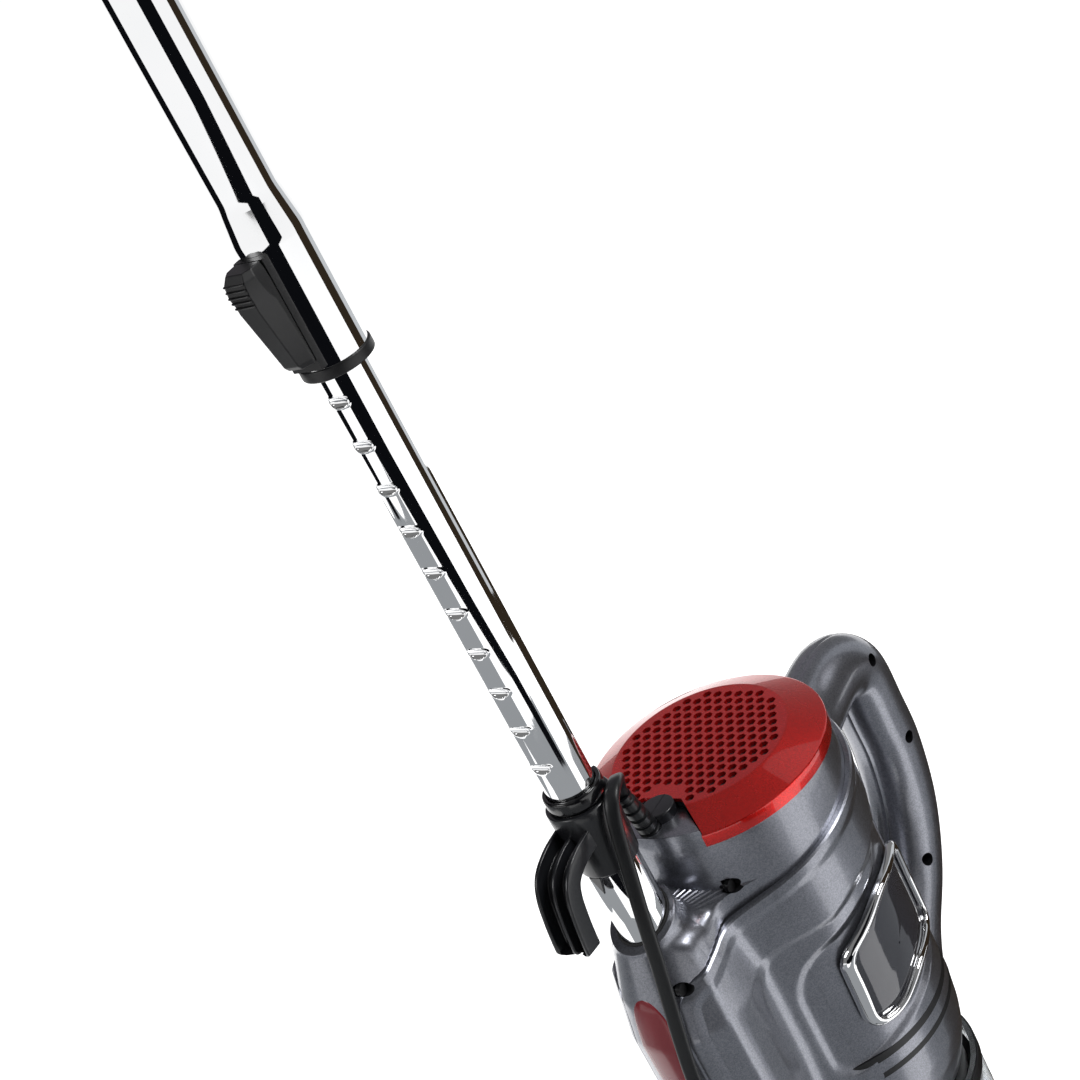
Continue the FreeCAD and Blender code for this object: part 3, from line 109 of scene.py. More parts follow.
def finish(name, dark, light, grain_mm, bump_mm=0.0, flake_mm=0.0, rough=(0.3, 0.4), **surface):
    """A moulded or rolled surface: colour drifts between two tones over cloudy patches, roughness
    drifts with it, a fine grain lifts the surface, and flakes give metallic paint its sparkle."""
    material, tree, shader = blank(name)
    where = add(tree, "TexCoord").outputs["Object"]
    cloud = add(tree, "TexNoise", Vector=where, Scale=1 / (CLOUD_MM * MM), Detail=3.0).outputs["Fac"]
    ends = {0: cloud, 6: linear(dark), 7: linear(light)}
    colour = add(tree, "Mix", ends, data_type="RGBA", clamp_factor=True).outputs[2]
    if flake_mm:
        cells = add(tree, "TexVoronoi", Vector=where, Scale=1 / (flake_mm * MM)).outputs["Color"]
        bright = add(tree, "SeparateColor", Color=cells).outputs["Red"]
        lift = add(tree, "MapRange", Value=bright, To_Min=0.82, To_Max=1.22).outputs["Result"]
        ends = {0: 1.0, 6: colour, 7: lift}
        colour = add(tree, "Mix", ends, data_type="RGBA", blend_type="MULTIPLY").outputs[2]
    tree.links.new(colour, shader.inputs["Base Color"])
    spread = add(tree, "MapRange", Value=cloud, To_Min=rough[0], To_Max=rough[1]).outputs["Result"]
    tree.links.new(spread, shader.inputs["Roughness"])
    if bump_mm:
        grain = add(tree, "TexNoise", Vector=where, Scale=1 / (grain_mm * MM), Detail=2.0)
        relief = add(tree, "Bump", Height=grain.outputs["Fac"], Distance=bump_mm * MM, Strength=1.0)
        tree.links.new(relief.outputs["Normal"], shader.inputs["Normal"])
    for socket, value in surface.items():
        shader.inputs[socket.replace("_", " ")].default_value = value
    return material


CLOUD_MM = 18.0    # size of the cloudy patches in a moulding's colour

# Injection-moulded ABS with aluminium flake in it: cool grey and glossy, with a sparkle half a
# millimetre across, twice as coarse as real so that it shows.
graphite = finish("abs_graphite_metallic_moulded", "#80828a", "#90929b", 0.5, 0.004, 0.5, (0.27, 0.33),
                  Metallic=0.85, Coat_Weight=0.7, Coat_Roughness=0.04)
# The same resin without flake, used for the hooks: nearly black, satin. On the strain relief's boss the
# near-black is painted shade, standing for the dark overhead reflected in its top.
dark_graphite_and_boss_shade = finish("abs_dark_graphite_and_boss_shade", "#1b1c1f", "#242529", 0.4, 0.004, 0, (0.26, 0.34),
                       Metallic=0.2, Coat_Weight=0.3, Coat_Roughness=0.08)
# Candy red: transparent red lacquer over metallic ABS, so it is deep in shade and bright at the edges.
candy_red = finish("abs_candy_red_lacquered", "#cf120c", "#e01a13", 0.5, 0.003, 0.4, (0.24, 0.3),
                   Metallic=0.7, Coat_Weight=1.0, Coat_Roughness=0.03)
# Chrome-plated steel tube, polished: a mirror with the faintest haze.
chrome = finish("steel_tube_chrome_plated", "#eeeff0", "#f4f4f5", 3.0, 0.0, 0, (0.02, 0.045),
                Metallic=1.0)
# Chrome-plated ABS trim: the same mirror, slightly wavy from the moulding.
chrome_trim = finish("abs_trim_chrome_plated", "#e9eaec", "#f2f2f3", 6.0, 0.02, 0, (0.03, 0.05),
                     Metallic=1.0)
# Black ABS, moulded in a polished tool.
gloss_black = finish("abs_black_polished_mould", "#0c0c0e", "#131316", 0.5, 0.002, 0, (0.14, 0.2),
                     Coat_Weight=0.3)
# Black ABS, moulded in a spark-eroded tool: a fine even grain that greys the highlights. The walls of the
# bored holes take it too, as painted shade in the recesses.
satin_black_and_bore_shade = finish("abs_black_spark_eroded_and_bore_shade", "#0b0b0d", "#121215", 0.25, 0.012, 0, (0.38, 0.48))
# Soft black PVC jacket and strain relief: dull, faintly wavy.
soft_pvc = finish("pvc_black_extruded", "#0b0c0e", "#131519", 1.2, 0.02, 0, (0.34, 0.44))
# Nitrile rubber: dead matt, dark grey.
rubber = finish("nitrile_rubber_moulded", "#1b1b1c", "#242425", 0.3, 0.02, 0, (0.62, 0.75))
# Soft thermoplastic elastomer of the grip pad and tyres: matt, close grain.
elastomer = finish("tpe_soft_touch_moulded", "#202124", "#2a2b2e", 0.35, 0.03, 0, (0.55, 0.68))
# Smoked acrylic window, polished both sides.
smoked = finish("acrylic_smoked_polished", "#3b3c43", "#45464d", 0.5, 0, 0, (0.06, 0.1), Metallic=0.25,
                Coat_Weight=1.0, Coat_Roughness=0.02)
# Red translucent acrylic of the release button.
red_clear = finish("acrylic_red_translucent_moulded", "#8e2a33", "#a5333c", 0.4, 0.006, 0, (0.2, 0.3),
                   Transmission_Weight=0.15, Coat_Weight=0.4)
# Clear polycarbonate of the dust cup, a trace of grey in it.
clear = finish("polycarbonate_clear_moulded", "#dfe3e6", "#e8ecee", 3.0, 0.006, 0, (0.03, 0.06),
               Transmission_Weight=0.93, IOR=1.58)
# Bright turned steel: shafts, screws and springs.
steel = finish("steel_turned_bright", "#9b9ca0", "#b0b1b5", 0.2, 0.006, 0, (0.24, 0.36),
               Metallic=1.0)
# Black-oxided steel of the housing screws, deep in their recesses.
black_steel = finish("steel_black_oxide", "#101012", "#18181a", 0.2, 0.004, 0, (0.4, 0.5),
                     Metallic=0.6)
# Zinc-plated sheet steel of the motor can and cores: pale, faintly mottled.
plated = finish("sheet_steel_zinc_plated", "#8f9296", "#a9acb0", 2.5, 0.01, 0, (0.32, 0.46),
                Metallic=1.0)
# Nickel-plated brass plug pins.
nickel = finish("brass_nickel_plated", "#c5bfae", "#d3cdbd", 0.3, 0.004, 0, (0.2, 0.3),
                Metallic=1.0)
# Open-cell polyurethane foam of the exhaust filter: pores half a millimetre across.
foam = finish("polyurethane_foam_open_cell", "#15161a", "#3a3c42", 0.6, 0.35, 0, (0.9, 0.95))
# Pleated filter paper: off-white, fibrous.
paper = finish("filter_paper_pleated", "#d4d1c6", "#e4e1d7", 0.4, 0.03, 0, (0.85, 0.92))
# Sintered carbon of the motor brushes.
carbon = finish("carbon_sintered", "#1c1c1d", "#2c2c2e", 0.2, 0.02, 0, (0.6, 0.7))
# Nylon bristle strips: dark, close tufts.
bristle = finish("nylon_bristle_tufted", "#18181a", "#2b2b2e", 0.4, 0.4, 0, (0.6, 0.75))


# ---------------------------------------------------------------- surfaces

def smooth(mesh, angle):
    """Shades a mesh smooth but for the edges sharper than the angle, in degrees."""
    mesh.polygons.foreach_set("use_smooth", np.ones(len(mesh.polygons), bool))
    mesh.set_sharp_from_angle(angle=math.radians(angle))


def piece(name, points, faces, material, body, replaced=(), angle=30):
    """A mesh of points in millimetres, its faces turned outwards, riding on a body."""
    mesh = bpy.data.meshes.new(name)
    mesh.from_pydata(place(points).tolist(), [], faces)
    work = bmesh.new()
    work.from_mesh(mesh)
    bmesh.ops.remove_doubles(work, verts=work.verts, dist=1e-6)
    bmesh.ops.recalc_face_normals(work, faces=work.faces)
    work.to_mesh(mesh)
    work.free()
    smooth(mesh, angle)
    mesh.materials.append(material)
    item = bpy.data.objects.new(name, mesh)
    scene.collection.objects.link(item)
    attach(item, body)
    if replaced:
        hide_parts(*replaced)
    return item


def tiles(rows, columns, wrap_rows, wrap_columns):
    """The four-cornered faces between the points of a grid, which may close on itself either way."""
    down, across = rows - (not wrap_rows), columns - (not wrap_columns)
    i, j = np.meshgrid(np.arange(down), np.arange(across), indexing="ij")
    i2, j2 = (i + 1) % rows, (j + 1) % columns
    corners = [i * columns + j, i * columns + j2, i2 * columns + j2, i2 * columns + j]
    return np.stack(corners, -1).reshape(-1, 4).tolist()


def stack(name, grid, material, body, replaced=(), ring=False, angle=30):
    """Closed rings of points, one after another: joined end to end if ring, else closed by flat ends."""
    rows, columns = grid.shape[:2]
    faces = tiles(rows, columns, ring, True)
    if not ring:
        faces += [list(range(columns)), list(range((rows - 1) * columns, rows * columns))]
    return piece(name, grid.reshape(-1, 3), faces, material, body, replaced, angle)


def softened(corners, radius, steps=4, closed=False):
    """A line of corners, each rounded by a quadratic curve that starts up to radius before it."""
    corners = np.asarray(corners, float)
    count = len(corners)
    result = [] if closed else [corners[0]]
    for i in range(0 if closed else 1, count if closed else count - 1):
        here = corners[i]
        back, ahead = corners[i - 1] - here, corners[(i + 1) % count] - here
        a = here + back * min(radius / np.linalg.norm(back), 0.45)
        b = here + ahead * min(radius / np.linalg.norm(ahead), 0.45)
        t = np.linspace(0, 1, steps + 1)[:, None]
        result += list(a * (1 - t) ** 2 + here * 2 * t * (1 - t) + b * t ** 2)
    return np.array(result if closed else result + [corners[-1]])


def full_turn(count):
    """That many directions at even steps round a circle."""
    return np.linspace(0, 2 * np.pi, count, endpoint=False)


def turned(profile, centre=(0.0, 0.0), segments=96, order=(0, 1, 2)):
    """Rings about an axis: each (radius, height) of the profile swept through a full turn. Order says
    which of the ring's two coordinates and its height comes first, second and third; it starts as an
    upright axis."""
    angle = full_turn(segments)
    radius, height = np.asarray(profile, float).T
    x = centre[0] + radius[:, None] * np.cos(angle)
    y = centre[1] + radius[:, None] * np.sin(angle)
    return np.stack([x, y, np.broadcast_to(height[:, None], x.shape)], -1)[..., list(order)]


def spline(points, count):
    """A smooth line through the points: Catmull-Rom cubics, each point's slope set by its neighbours."""
    p = np.asarray(points, float)
    p = np.vstack([2 * p[0] - p[1], p, 2 * p[-1] - p[-2]])
    t = np.linspace(0, len(p) - 3 - 1e-9, count)
    i = t.astype(int)
    t = (t - i)[:, None]
    a, b, c, d = p[i], p[i + 1], p[i + 2], p[i + 3]
    square, cube = 2 * a - 5 * b + 4 * c - d, 3 * b - a - 3 * c + d
    return 0.5 * (2 * b + (c - a) * t + square * t ** 2 + cube * t ** 3)


def carried(line, section, side):
    """A closed section carried along a line; its first coordinate lies along side, made square to
    the line."""
    heading = np.gradient(line, axis=0)
    heading /= np.linalg.norm(heading, axis=1)[:, None]
    side = np.broadcast_to(np.asarray(side, float), line.shape)
    across = side - heading * np.sum(side * heading, 1)[:, None]
    across /= np.linalg.norm(across, axis=1)[:, None]
    out = np.cross(heading, across)
    section = np.broadcast_to(section, (len(line),) + section.shape[-2:])
    return line[:, None] + across[:, None] * section[..., :1] + out[:, None] * section[..., 1:]


def round_pole(radius, turn, z):
    """Points at a radius and a direction, counted from +Y, about the pole's axis."""
    return np.stack([radius * np.sin(turn), POLE_Y + radius * np.cos(turn), z], -1)


def oval(width, depth, segments=32, power=2.0):
    """A closed superellipse of that half width and half depth."""
    t = full_turn(segments)
    c, s = np.cos(t), np.sin(t)
    across = width * np.sign(c) * abs(c) ** (2 / power)
    return np.stack([across, depth * np.sign(s) * abs(s) ** (2 / power)], -1)


def bevelled(item, width, segments=3, angle=30):
    """Rounds the sharp edges; the loose triangles of a carried-over node are joined first."""
    weld = item.modifiers.new("weld", "WELD")
    weld.merge_threshold = 1e-6
    bevel = item.modifiers.new("bevel", "BEVEL")
    bevel.width = width * MM
    bevel.segments = segments
    bevel.limit_method = "ANGLE"
    bevel.angle_limit = math.radians(angle)
    bevel.harden_normals = True


def cut(item, cutters, angle=30):
    """Cuts closed pieces out of an item, which takes their material in the holes, and keeps the cut
    mesh without modifiers."""
    for cutter in cutters:
        hole = item.modifiers.new("hole", "BOOLEAN")
        hole.operation = "DIFFERENCE"
        hole.solver = "EXACT"
        hole.material_mode = "TRANSFER"
        hole.object = cutter
    bpy.context.view_layer.update()
    ready = item.evaluated_get(bpy.context.evaluated_depsgraph_get())
    mesh = bpy.data.meshes.new_from_object(ready)
    item.modifiers.clear()
    item.data = mesh
    smooth(mesh, angle)
    for cutter in cutters:
        bpy.data.objects.remove(cutter)


def bored(item, holes):
    """Cuts round holes, each a start, an end and a radius. The cutters are black, so the hole walls come
    out black: painted shade in the recesses.
    """
    lines = [(np.array([start, end], float), radius) for start, end, radius in holes]
    cutters = [carried(line, oval(radius, radius, 40), (0, 0, 1)) for line, radius in lines]
    # Black cutters: the walls they leave in the holes are painted shade.
    cut(item, [stack("cutter", grid, satin_black_and_bore_shade, "main_body") for grid in cutters])


def blend_of(a, b, reach):
    """Smooth union of two distances: their minimum, rounded where they differ by less than reach."""
    share = np.clip(0.5 + 0.5 * (b - a) / reach, 0, 1)
    return b * (1 - share) + a * share - reach * share * (1 - share)


def rolled(gap, radius):
    """How far an edge of that radius falls back, at each distance from the edge."""
    return radius - np.sqrt(np.maximum(radius ** 2 - np.maximum(radius - gap, 0) ** 2, 0))


def drawn_in(x, y, y0, depth):
    """Points moved that far in towards an upright axis at (0, y0)."""
    scale = 1 - depth / np.maximum(np.hypot(x, y - y0), 1)
    return x * scale, y0 + (y - y0) * scale


def step(value, width):
    """0 below zero and 1 above width, with a smooth rise between."""
    t = np.clip(value / width, 0, 1)
    return t * t * (3 - 2 * t)


# ---------------------------------------------------------------- mains lead

CORD_WIDTH = 6.6
CORD_THICK = 4.4
COIL_CENTRE = (-72.0, 172.0)
COIL_COLUMNS = (51.7, 45.1, 38.5, 31.9)
COIL_ROWS = (23.1, 16.5, 9.9, 3.3)     # above the floor
COIL_PLACES = 16      # turns in full places, four columns by four rows
COIL_TURNS = COIL_PLACES + 0.5
POINTS_A_TURN = 16
CHANGE_START, CHANGE_WIDTH = 195 / 360, 50 / 360     # of a turn

CORD_ROUTE = [
    (0, 56.4, 20.0), (-2.0, 57.6, 26.5), (-7.0, 61.0, 33.0), (-13.0, 66.5, 38.5),
    (-17.6, 73.8, 42.0), (-19.2, 81.0, 40.0), (-19.5, 85.5, 32.0), (-19.6, 89.2, 20.0),
    (-19.5, 92.5, 7.0), (-19.3, 95.8, -5.5), (-19.0, 98.8, -19.0), (-18.3, 101.5, -34.0),
    (-17.0, 104.9, -52.0), (-15.6, 108.6, -71.0), (-14.6, 112.4, -92.0), (-14.8, 115.2, -119.0),
    (-16.0, 117.6, -156.0), (-17.2, 119.0, -206.0), (-19.0, 121.5, -260.0),
    (-20.2, 123.0, -315.0), (-21.6, 126.4, -368.0), (-22.6, 130.0, -418.0),
    (-22.6, 137.4, -461.0), (-21.2, 148.0, -494.0), (-20.5, 161.0, -507.0),
]
TAIL_ROUTE = [
    (-124.0, 160.0, 3.8), (-125.0, 147.0, 8.0), (-126.2, 135.0, 15.5), (-126.5, 123.0, 17.5),
]


def coil_points():
    """Rings of a neat coil: the first half turn comes down from the top, then each turn steps one
    column across at its far quarter, and at the end of a row one row down."""
    turn = np.arange(0, COIL_TURNS + 1e-6, 1 / POINTS_A_TURN)
    radii, heights = [], []
    for k in range(COIL_PLACES):
        row = k // 4
        column = k % 4 if row % 2 == 0 else 3 - k % 4
        radii.append(COIL_COLUMNS[column])
        heights.append(COIL_ROWS[row])
    radii, heights = np.array(radii + radii[-1:]), np.array(heights + heights[-1:])
    part = turn - np.floor(turn)
    whole = np.minimum(np.floor(turn).astype(int), COIL_PLACES)
    before = np.clip(whole - 1, 0, COIL_PLACES - 1)
    after = np.clip(whole, 0, COIL_PLACES - 1)
    shift = step(part - CHANGE_START, CHANGE_WIDTH)
    radius = radii[before] * (1 - shift) + radii[after] * shift
    height = heights[before] * (1 - shift) + heights[after] * shift
    first = turn < 0.55
    height = np.where(first, COIL_ROWS[0] + CORD_WIDTH * (1 - step(turn - 0.1, 0.45)), height)
    angle = 2 * np.pi * turn
    # A quadratic spline runs inside its points; widening the rings brings it out to their radius.
    widen = 8 / (6 + 2 * math.cos(2 * np.pi / POINTS_A_TURN))
    x = COIL_CENTRE[0] + radius * widen * np.cos(angle)
    y = COIL_CENTRE[1] + radius * widen * np.sin(angle)
    return np.stack([x, y, height + FLOOR], -1)


def lead_line():
    """The lead's centre line: a quadratic NURBS spline through the route, the coil and the tail."""
    tail = np.array(TAIL_ROUTE) + (0, 0, FLOOR)
    points = place(np.vstack([CORD_ROUTE, coil_points(), tail]))
    curve = bpy.data.curves.new("lead_line", "CURVE")
    curve.dimensions = "3D"
    run = curve.splines.new("NURBS")
    run.points.add(len(points) - 1)
    run.points.foreach_set("co", np.column_stack([points, np.ones(len(points))]).ravel())
    run.order_u = 3
    run.use_endpoint_u = True
    run.resolution_u = 6
    holder = bpy.data.objects.new("lead_line", curve)
    scene.collection.objects.link(holder)
    mesh = bpy.data.meshes.new_from_object(holder)
    line = np.empty(len(mesh.vertices) * 3)
    mesh.vertices.foreach_get("co", line)
    bpy.data.objects.remove(holder)
    return line.reshape(-1, 3) / MM - ORIGIN


def lead():
    """The flat lead: a rounded flat section carried along its line. Its width lies square to the fold
    over the clip, across the view down the back of the pod, and upright in the coil."""
    line = lead_line()
    height = line[:, 2]
    run = np.linalg.norm(np.diff(line, axis=0, prepend=line[:1]), axis=1).cumsum()
    fold = np.array([-0.80, -0.60, 0.0])
    hang = np.array([-0.75, -0.66, 0.0])
    upright = np.array([0.0, 0.0, 1.0])
    to_hang = step(run - 60, 60)[:, None]
    to_coil = step(run - 480, 100)[:, None]
    side = (fold * (1 - to_hang) + hang * to_hang) * (1 - to_coil) + upright * to_coil
    section = oval(CORD_WIDTH / 2, CORD_THICK / 2, 18, 3.0)
    grid = carried(line, section, side)
    item = stack("mains_lead", grid, soft_pvc, "main_body", ("cord", "cord_coil"), angle=60)
    return item, place(line)


mains_lead, lead_path = lead()


# ---------------------------------------------------------------- pole

COLLAR_DROP = 13.2


def pole_tubes():
    """The outer tube with its flare, the sliding flange and the stub."""
    wall = 0.8
    outside = softened([(14.6, 262), (14.6, 314), (12.5, 330), (12.5, 515)], 2.2, 6)
    inside = outside[::-1] - (wall, 0)
    shell = turned(np.vstack([outside, inside]), (0, POLE_Y))
    stack("outer_tube", shell, chrome, "upper_pole", ("upper_tube",), True)
    ring = softened([(15.4, 257), (15.4, 262), (11.3, 262), (11.3, 257)], 0.9, 4, True)
    ring = turned(ring, (0, POLE_Y))
    stack("flange_ring", ring, satin_black_and_bore_shade, "upper_pole", ("tube_flange",), True)
    stub = softened([(12.3, -95), (12.3, 5), (11.0, 5.0), (11.0, -95)], 0.3, 2, True)
    stack("stub_tube", turned(stub, (0, POLE_Y)), chrome, "pole", ("pole_stub",), True)


def notched_tube():
    """Inner tube: a round tube whose radius falls to a cylinder lying across it at each notch,
    with a low rolled lip round each one."""
    radius, notch_r, depth = 11.0, 3.0, 1.2
    centres = 285.8 - 20.2 * np.arange(12)
    near = np.linspace(-4.4, 4.4, 26)
    z = np.unique(np.concatenate([[-60, 0, 30, 297, 300]] + [c + near for c in centres]))
    back = np.radians(np.concatenate([np.linspace(-42, 42, 57), np.linspace(50, 310, 44)]))
    zz, turn = np.meshgrid(z, back, indexing="ij")
    gap = np.abs(zz[..., None] - centres).min(-1)
    floor = radius - depth + notch_r - np.sqrt(np.maximum(notch_r ** 2 - gap ** 2, 0))
    floor = np.where(gap < notch_r, floor, radius + notch_r)
    facing = np.cos(turn)
    reach = np.where(facing > 0.5, floor / np.maximum(facing, 0.5), radius + 9)
    r = blend_of(np.full_like(reach, radius), reach, 0.5)
    r = r + 0.22 * np.exp(-((reach - radius) / 0.45) ** 2) * (facing > 0.5)
    grid = round_pole(r, turn, zz)
    inner = round_pole(9.5, turn, zz)[[-1, 0]]
    stack("inner_tube", np.concatenate([grid, inner]), chrome, "pole", ("lower_tube",), True, 45)


HOOK_LINE = [
    (11.5, 27.0), (22.0, 26.0), (31.0, 22.5), (35.5, 16.0), (38.0, 6.0), (39.4, -3.0), (40.2, -11.0),
]


def hook(name, body, node, height, up):
    """A cord hook: an open channel with two cheeks and a middle rib, carried along the hook's line and
    rounded at the tip. up is 1, or -1 for a hook that points up."""
    half, deep, wall = 9.0, 4.5, 1.9
    floor = -deep + wall + 0.6
    rib, top = 0.9, deep - 1.2
    section = [(-half, -deep), (half, -deep), (half, deep), (half - wall, deep), (half - wall, floor),
               (rib, floor), (rib, top), (-rib, top), (-rib, floor), (-half + wall, floor),
               (-half + wall, deep), (-half, deep)]
    section = np.array([softened(section, 0.7, 3, True)])
    line = spline([(0, y, z) for y, z in HOOK_LINE], 60)
    share = np.linspace(0, 1, 60)
    pinch = np.where(share > 0.93, np.sqrt(np.maximum(1 - ((share - 0.93) / 0.071) ** 2, 0.02)), 1.0)
    grown = section * pinch[:, None, None]
    line = line + (0, POLE_Y, 0)
    line[:, 2] = height + up * line[:, 2]
    grid = carried(line, grown * (1, up), (-1, 0, 0))
    stack(name, grid, dark_graphite_and_boss_shade, body, (node,), angle=40)


def pole_fittings():
    """Hook collars, the open clip ring and the small tab under the lower collar."""
    rim = [(15.0, 39), (15.0, 33.5), (13.6, 6), (12.35, 5), (12.35, 5.4), (11.2, 10), (11.1, 38),
           (12.6, 39)]
    rim = turned(softened(rim, 0.8, 3, True), (0, POLE_Y))
    stack("lower_hook_collar", rim, dark_graphite_and_boss_shade, "pole", ring=True)
    ring = softened([(15.5, 422), (15.5, 444), (12.8, 444), (12.8, 422)], 1.0, 4, True)
    stack("upper_hook_collar", turned(ring, (0, POLE_Y)), dark_graphite_and_boss_shade, "top_hook", ring=True)
    arc = np.radians(np.linspace(-28, 248, 80))
    line = np.stack([12.25 * np.cos(arc), POLE_Y + 12.25 * np.sin(arc), np.full(80, 42.8)], -1)
    order = np.arange(80)
    bulge = 1 + 0.35 * (np.exp(-((order - 79) / 4) ** 2) + np.exp(-(order / 4) ** 2))
    section = oval(3.5, 1.15, 24, 3.5)[None] * np.stack([np.ones(80), bulge], -1)[:, None]
    ring = carried(line, section, (0, 0, 1))
    stack("clip_ring", ring, gloss_black, "pole", ("cord_clip",), angle=50)
    y = POLE_Y + 12.3
    tab = [(-3, y, 6), (3, y, 6), (0, y, -4), (-3, y + 1.2, 6), (3, y + 1.2, 6), (0, y + 0.5, -4)]
    faces = [[0, 1, 2], [3, 5, 4], [0, 3, 4, 1], [1, 4, 5, 2], [2, 5, 3, 0]]
    bevelled(piece("collar_tab", tab, faces, dark_graphite_and_boss_shade, "pole"), 0.3)


def latch():
    """The thumb latch: six-cornered rings up its height; the flanks lean in to a narrow outer face that
    swells at the top, where five ribs cross it."""
    levels = np.array([267.0, 269, 280, 296, 299, 303, 308, 311])
    face = np.array([21.0, 22.4, 24.4, 27.4, 27.4, 28.0, 27.4, 25.2])
    half = np.array([3.4, 3.7, 4.2, 4.9, 5.0, 5.4, 5.2, 4.2])
    base = np.array([7.0, 7.5, 7.5, 7.5, 7.5, 7.5, 7.2, 6.4])
    foot = 16.4
    knee = np.array([17.2, 17.4, 17.8, 18.8, 20.6, 22.2, 22.6, 21.8])
    rings = [[(-b, foot, z), (-b, k, z), (-h, f, z), (h, f, z), (b, k, z), (b, foot, z)]
             for z, f, h, b, k in zip(levels, face, half, base, knee)]
    rings = np.array(rings, float) + (0, POLE_Y, 0)
    body = stack("latch_body", rings, satin_black_and_bore_shade, "pole_latch", ("latch_slider",), angle=20)
    bevelled(body, 0.45, 3, 12)
    for i in range(5):
        z = 298.6 + 2.3 * i
        y = POLE_Y + np.interp(z, levels, face) - 0.1
        line = np.array([(-5.0, y, z), (-4.2, y + 0.35, z), (4.2, y + 0.35, z), (5.0, y, z)])
        rib = carried(line, oval(0.45, 0.7, 12), (0, 0, 1))
        stack(f"latch_rib_{i}", rib, satin_black_and_bore_shade, "pole_latch")


def grip():
    """The hand grip: an oval tube whose half width swells along its height, with a groove down the
    joint of its two mouldings, and a ribbed pad let into its back."""
    low = 515.0
    knots = np.array([0.0, 2, 10, 40, 75, 105, 118, 125, 129, 130])
    radii = np.array([13.6, 15.0, 16.4, 15.7, 17.2, 17.0, 15.4, 12.4, 7.0, 0.6])
    crown = 115 + 15 * np.sin(np.linspace(0, np.pi / 2, 16)[1:])
    z = np.concatenate([np.linspace(0, 10, 12), np.linspace(11, 115, 70), crown])
    radius = np.interp(z, knots, radii)
    kernel = np.ones(5) / 5
    radius[3:80] = np.convolve(np.pad(radius, 2, mode="edge"), kernel, "valid")[3:80]
    radius[z > 115] = 15.9 * np.sqrt(np.maximum(1 - ((z[z > 115] - 115) / 15.05) ** 2, 0.002))
    t = full_turn(120)
    turn = t - np.pi / 2
    gap = np.sin(turn) ** 2 + (np.cos(turn) - np.sign(np.cos(turn))) ** 2
    groove = 1 - 0.03 * np.exp(-gap / 0.0012)
    r = radius[:, None] * groove
    height = low + np.broadcast_to(z[:, None], r.shape)
    grid = np.stack([r * np.cos(t), POLE_Y + r * np.sin(t), height], -1)
    stack("hand_grip", grid, graphite, "upper_pole", ("grip_left", "grip_right"), angle=50)
    across = np.radians(np.linspace(-40, 40, 40))
    zz, a = np.meshgrid(np.linspace(18, 112, 150), across, indexing="ij")
    inside = np.clip(1 - (abs(a) / np.radians(38)) ** 4, 0, 1)
    inside = inside * np.clip(1 - (abs(zz - 65) / 46.5) ** 8, 0, 1)
    rib = 0.35 * np.cos(2 * np.pi * zz / 5.0)
    r = np.interp(zz, z, radius) - 0.8 + (1.3 + rib) * np.sqrt(inside)
    pad = round_pole(r, a, low + zz)
    inner = pad.copy()
    inner[..., :2] = (inner[..., :2] - (0, POLE_Y)) * 0.9 + (0, POLE_Y)
    closed = np.concatenate([pad, inner[:, ::-1]], 1)
    stack("grip_back_pad", closed, elastomer, "upper_pole", ("grip_pad",), angle=60)


pole_tubes()
notched_tube()
hook("lower_hook_arm", "pole", "lower_hook", 0.0, 1)
hook("upper_hook_arm", "top_hook", "upper_hook", 460.0, -1)
pole_fittings()
latch()
grip()


# ---------------------------------------------------------------- housing

BODY_R = 60.0
COLLAR_R = 57.0
POD_LEVELS = [-214.0, -211, -190, -160, -130, -80, -60, -48, -36, -18]
POD_RADII = [1.0, 8.0, 20.0, 27.0, 29.0, 29.0, 25.0, 21.0, 17.0, 15.2]
BODY_LEVELS = [-213.0, -203, -191, -182, -167, 0]
BODY_RADII = [47.7, 52.7, 56.8, 58.6, 60.0, 60.0]
SPINE_HALF = 14.5
LEAVE, JOIN = 0.60, 0.74     # shares of the way round a panel between the barrel's rays and the pod's
LEDGE = 4.2        # width of the bevel between two terraces
TERRACE_DEPTH = 1.7
SEAM = -36.0           # height of the seam between panel and rear housing on the body's axis
SEAM_SLOPE = -0.2
PANEL_FOOT = -213.0
SKIN_FOOT = -66.0      # where the rear housing's skin ends, inside the panels
WALL = 2.2
MOUTH = -28.5          # height of the pod's sloping mouth on the pole's axis
MOUTH_SLOPE = 0.387
MOUTH_BORE = 12.6
BOSS_Y = 41.0
DECK_HALF = 26.0
SCREW_R = 3.2
RECESSES = [((-46.0, 51.0, -36.0), (-24.0, 51.0, -36.0), 3.3),
            ((-36.0, 95.2, -55.0), (-13.5, 95.2, -55.0), SCREW_R)]


def smooth_table(levels, radii):
    """A radius for each height: the table's straight runs, averaged over five millimetres."""
    fine = np.linspace(levels[0], 5, 1200)
    run = np.interp(fine, levels, radii)
    width = 31
    window = np.hanning(width + 2)[1:-1]
    average = np.convolve(np.pad(run, width // 2, mode="edge"), window / window.sum(), "valid")
    return lambda z: np.interp(z, fine, average)


pod_radius = smooth_table(POD_LEVELS, POD_RADII)
body_radius = smooth_table(BODY_LEVELS, BODY_RADII)


def mouth_level(y):
    """Height of the pod's mouth, which slopes down away from the barrel."""
    return MOUTH - MOUTH_SLOPE * (y - POLE_Y)


def mouth_ring(radius, drop, angle):
    """A ring about the pole's axis, that far below the mouth."""
    y = POLE_Y + radius * np.cos(angle)
    return np.stack([radius * np.sin(angle), y, mouth_level(y) - drop], -1)


def pod_distance(x, y, z):
    """How far outside the pod a point is."""
    return np.hypot(x, y - POLE_Y) - pod_radius(z)


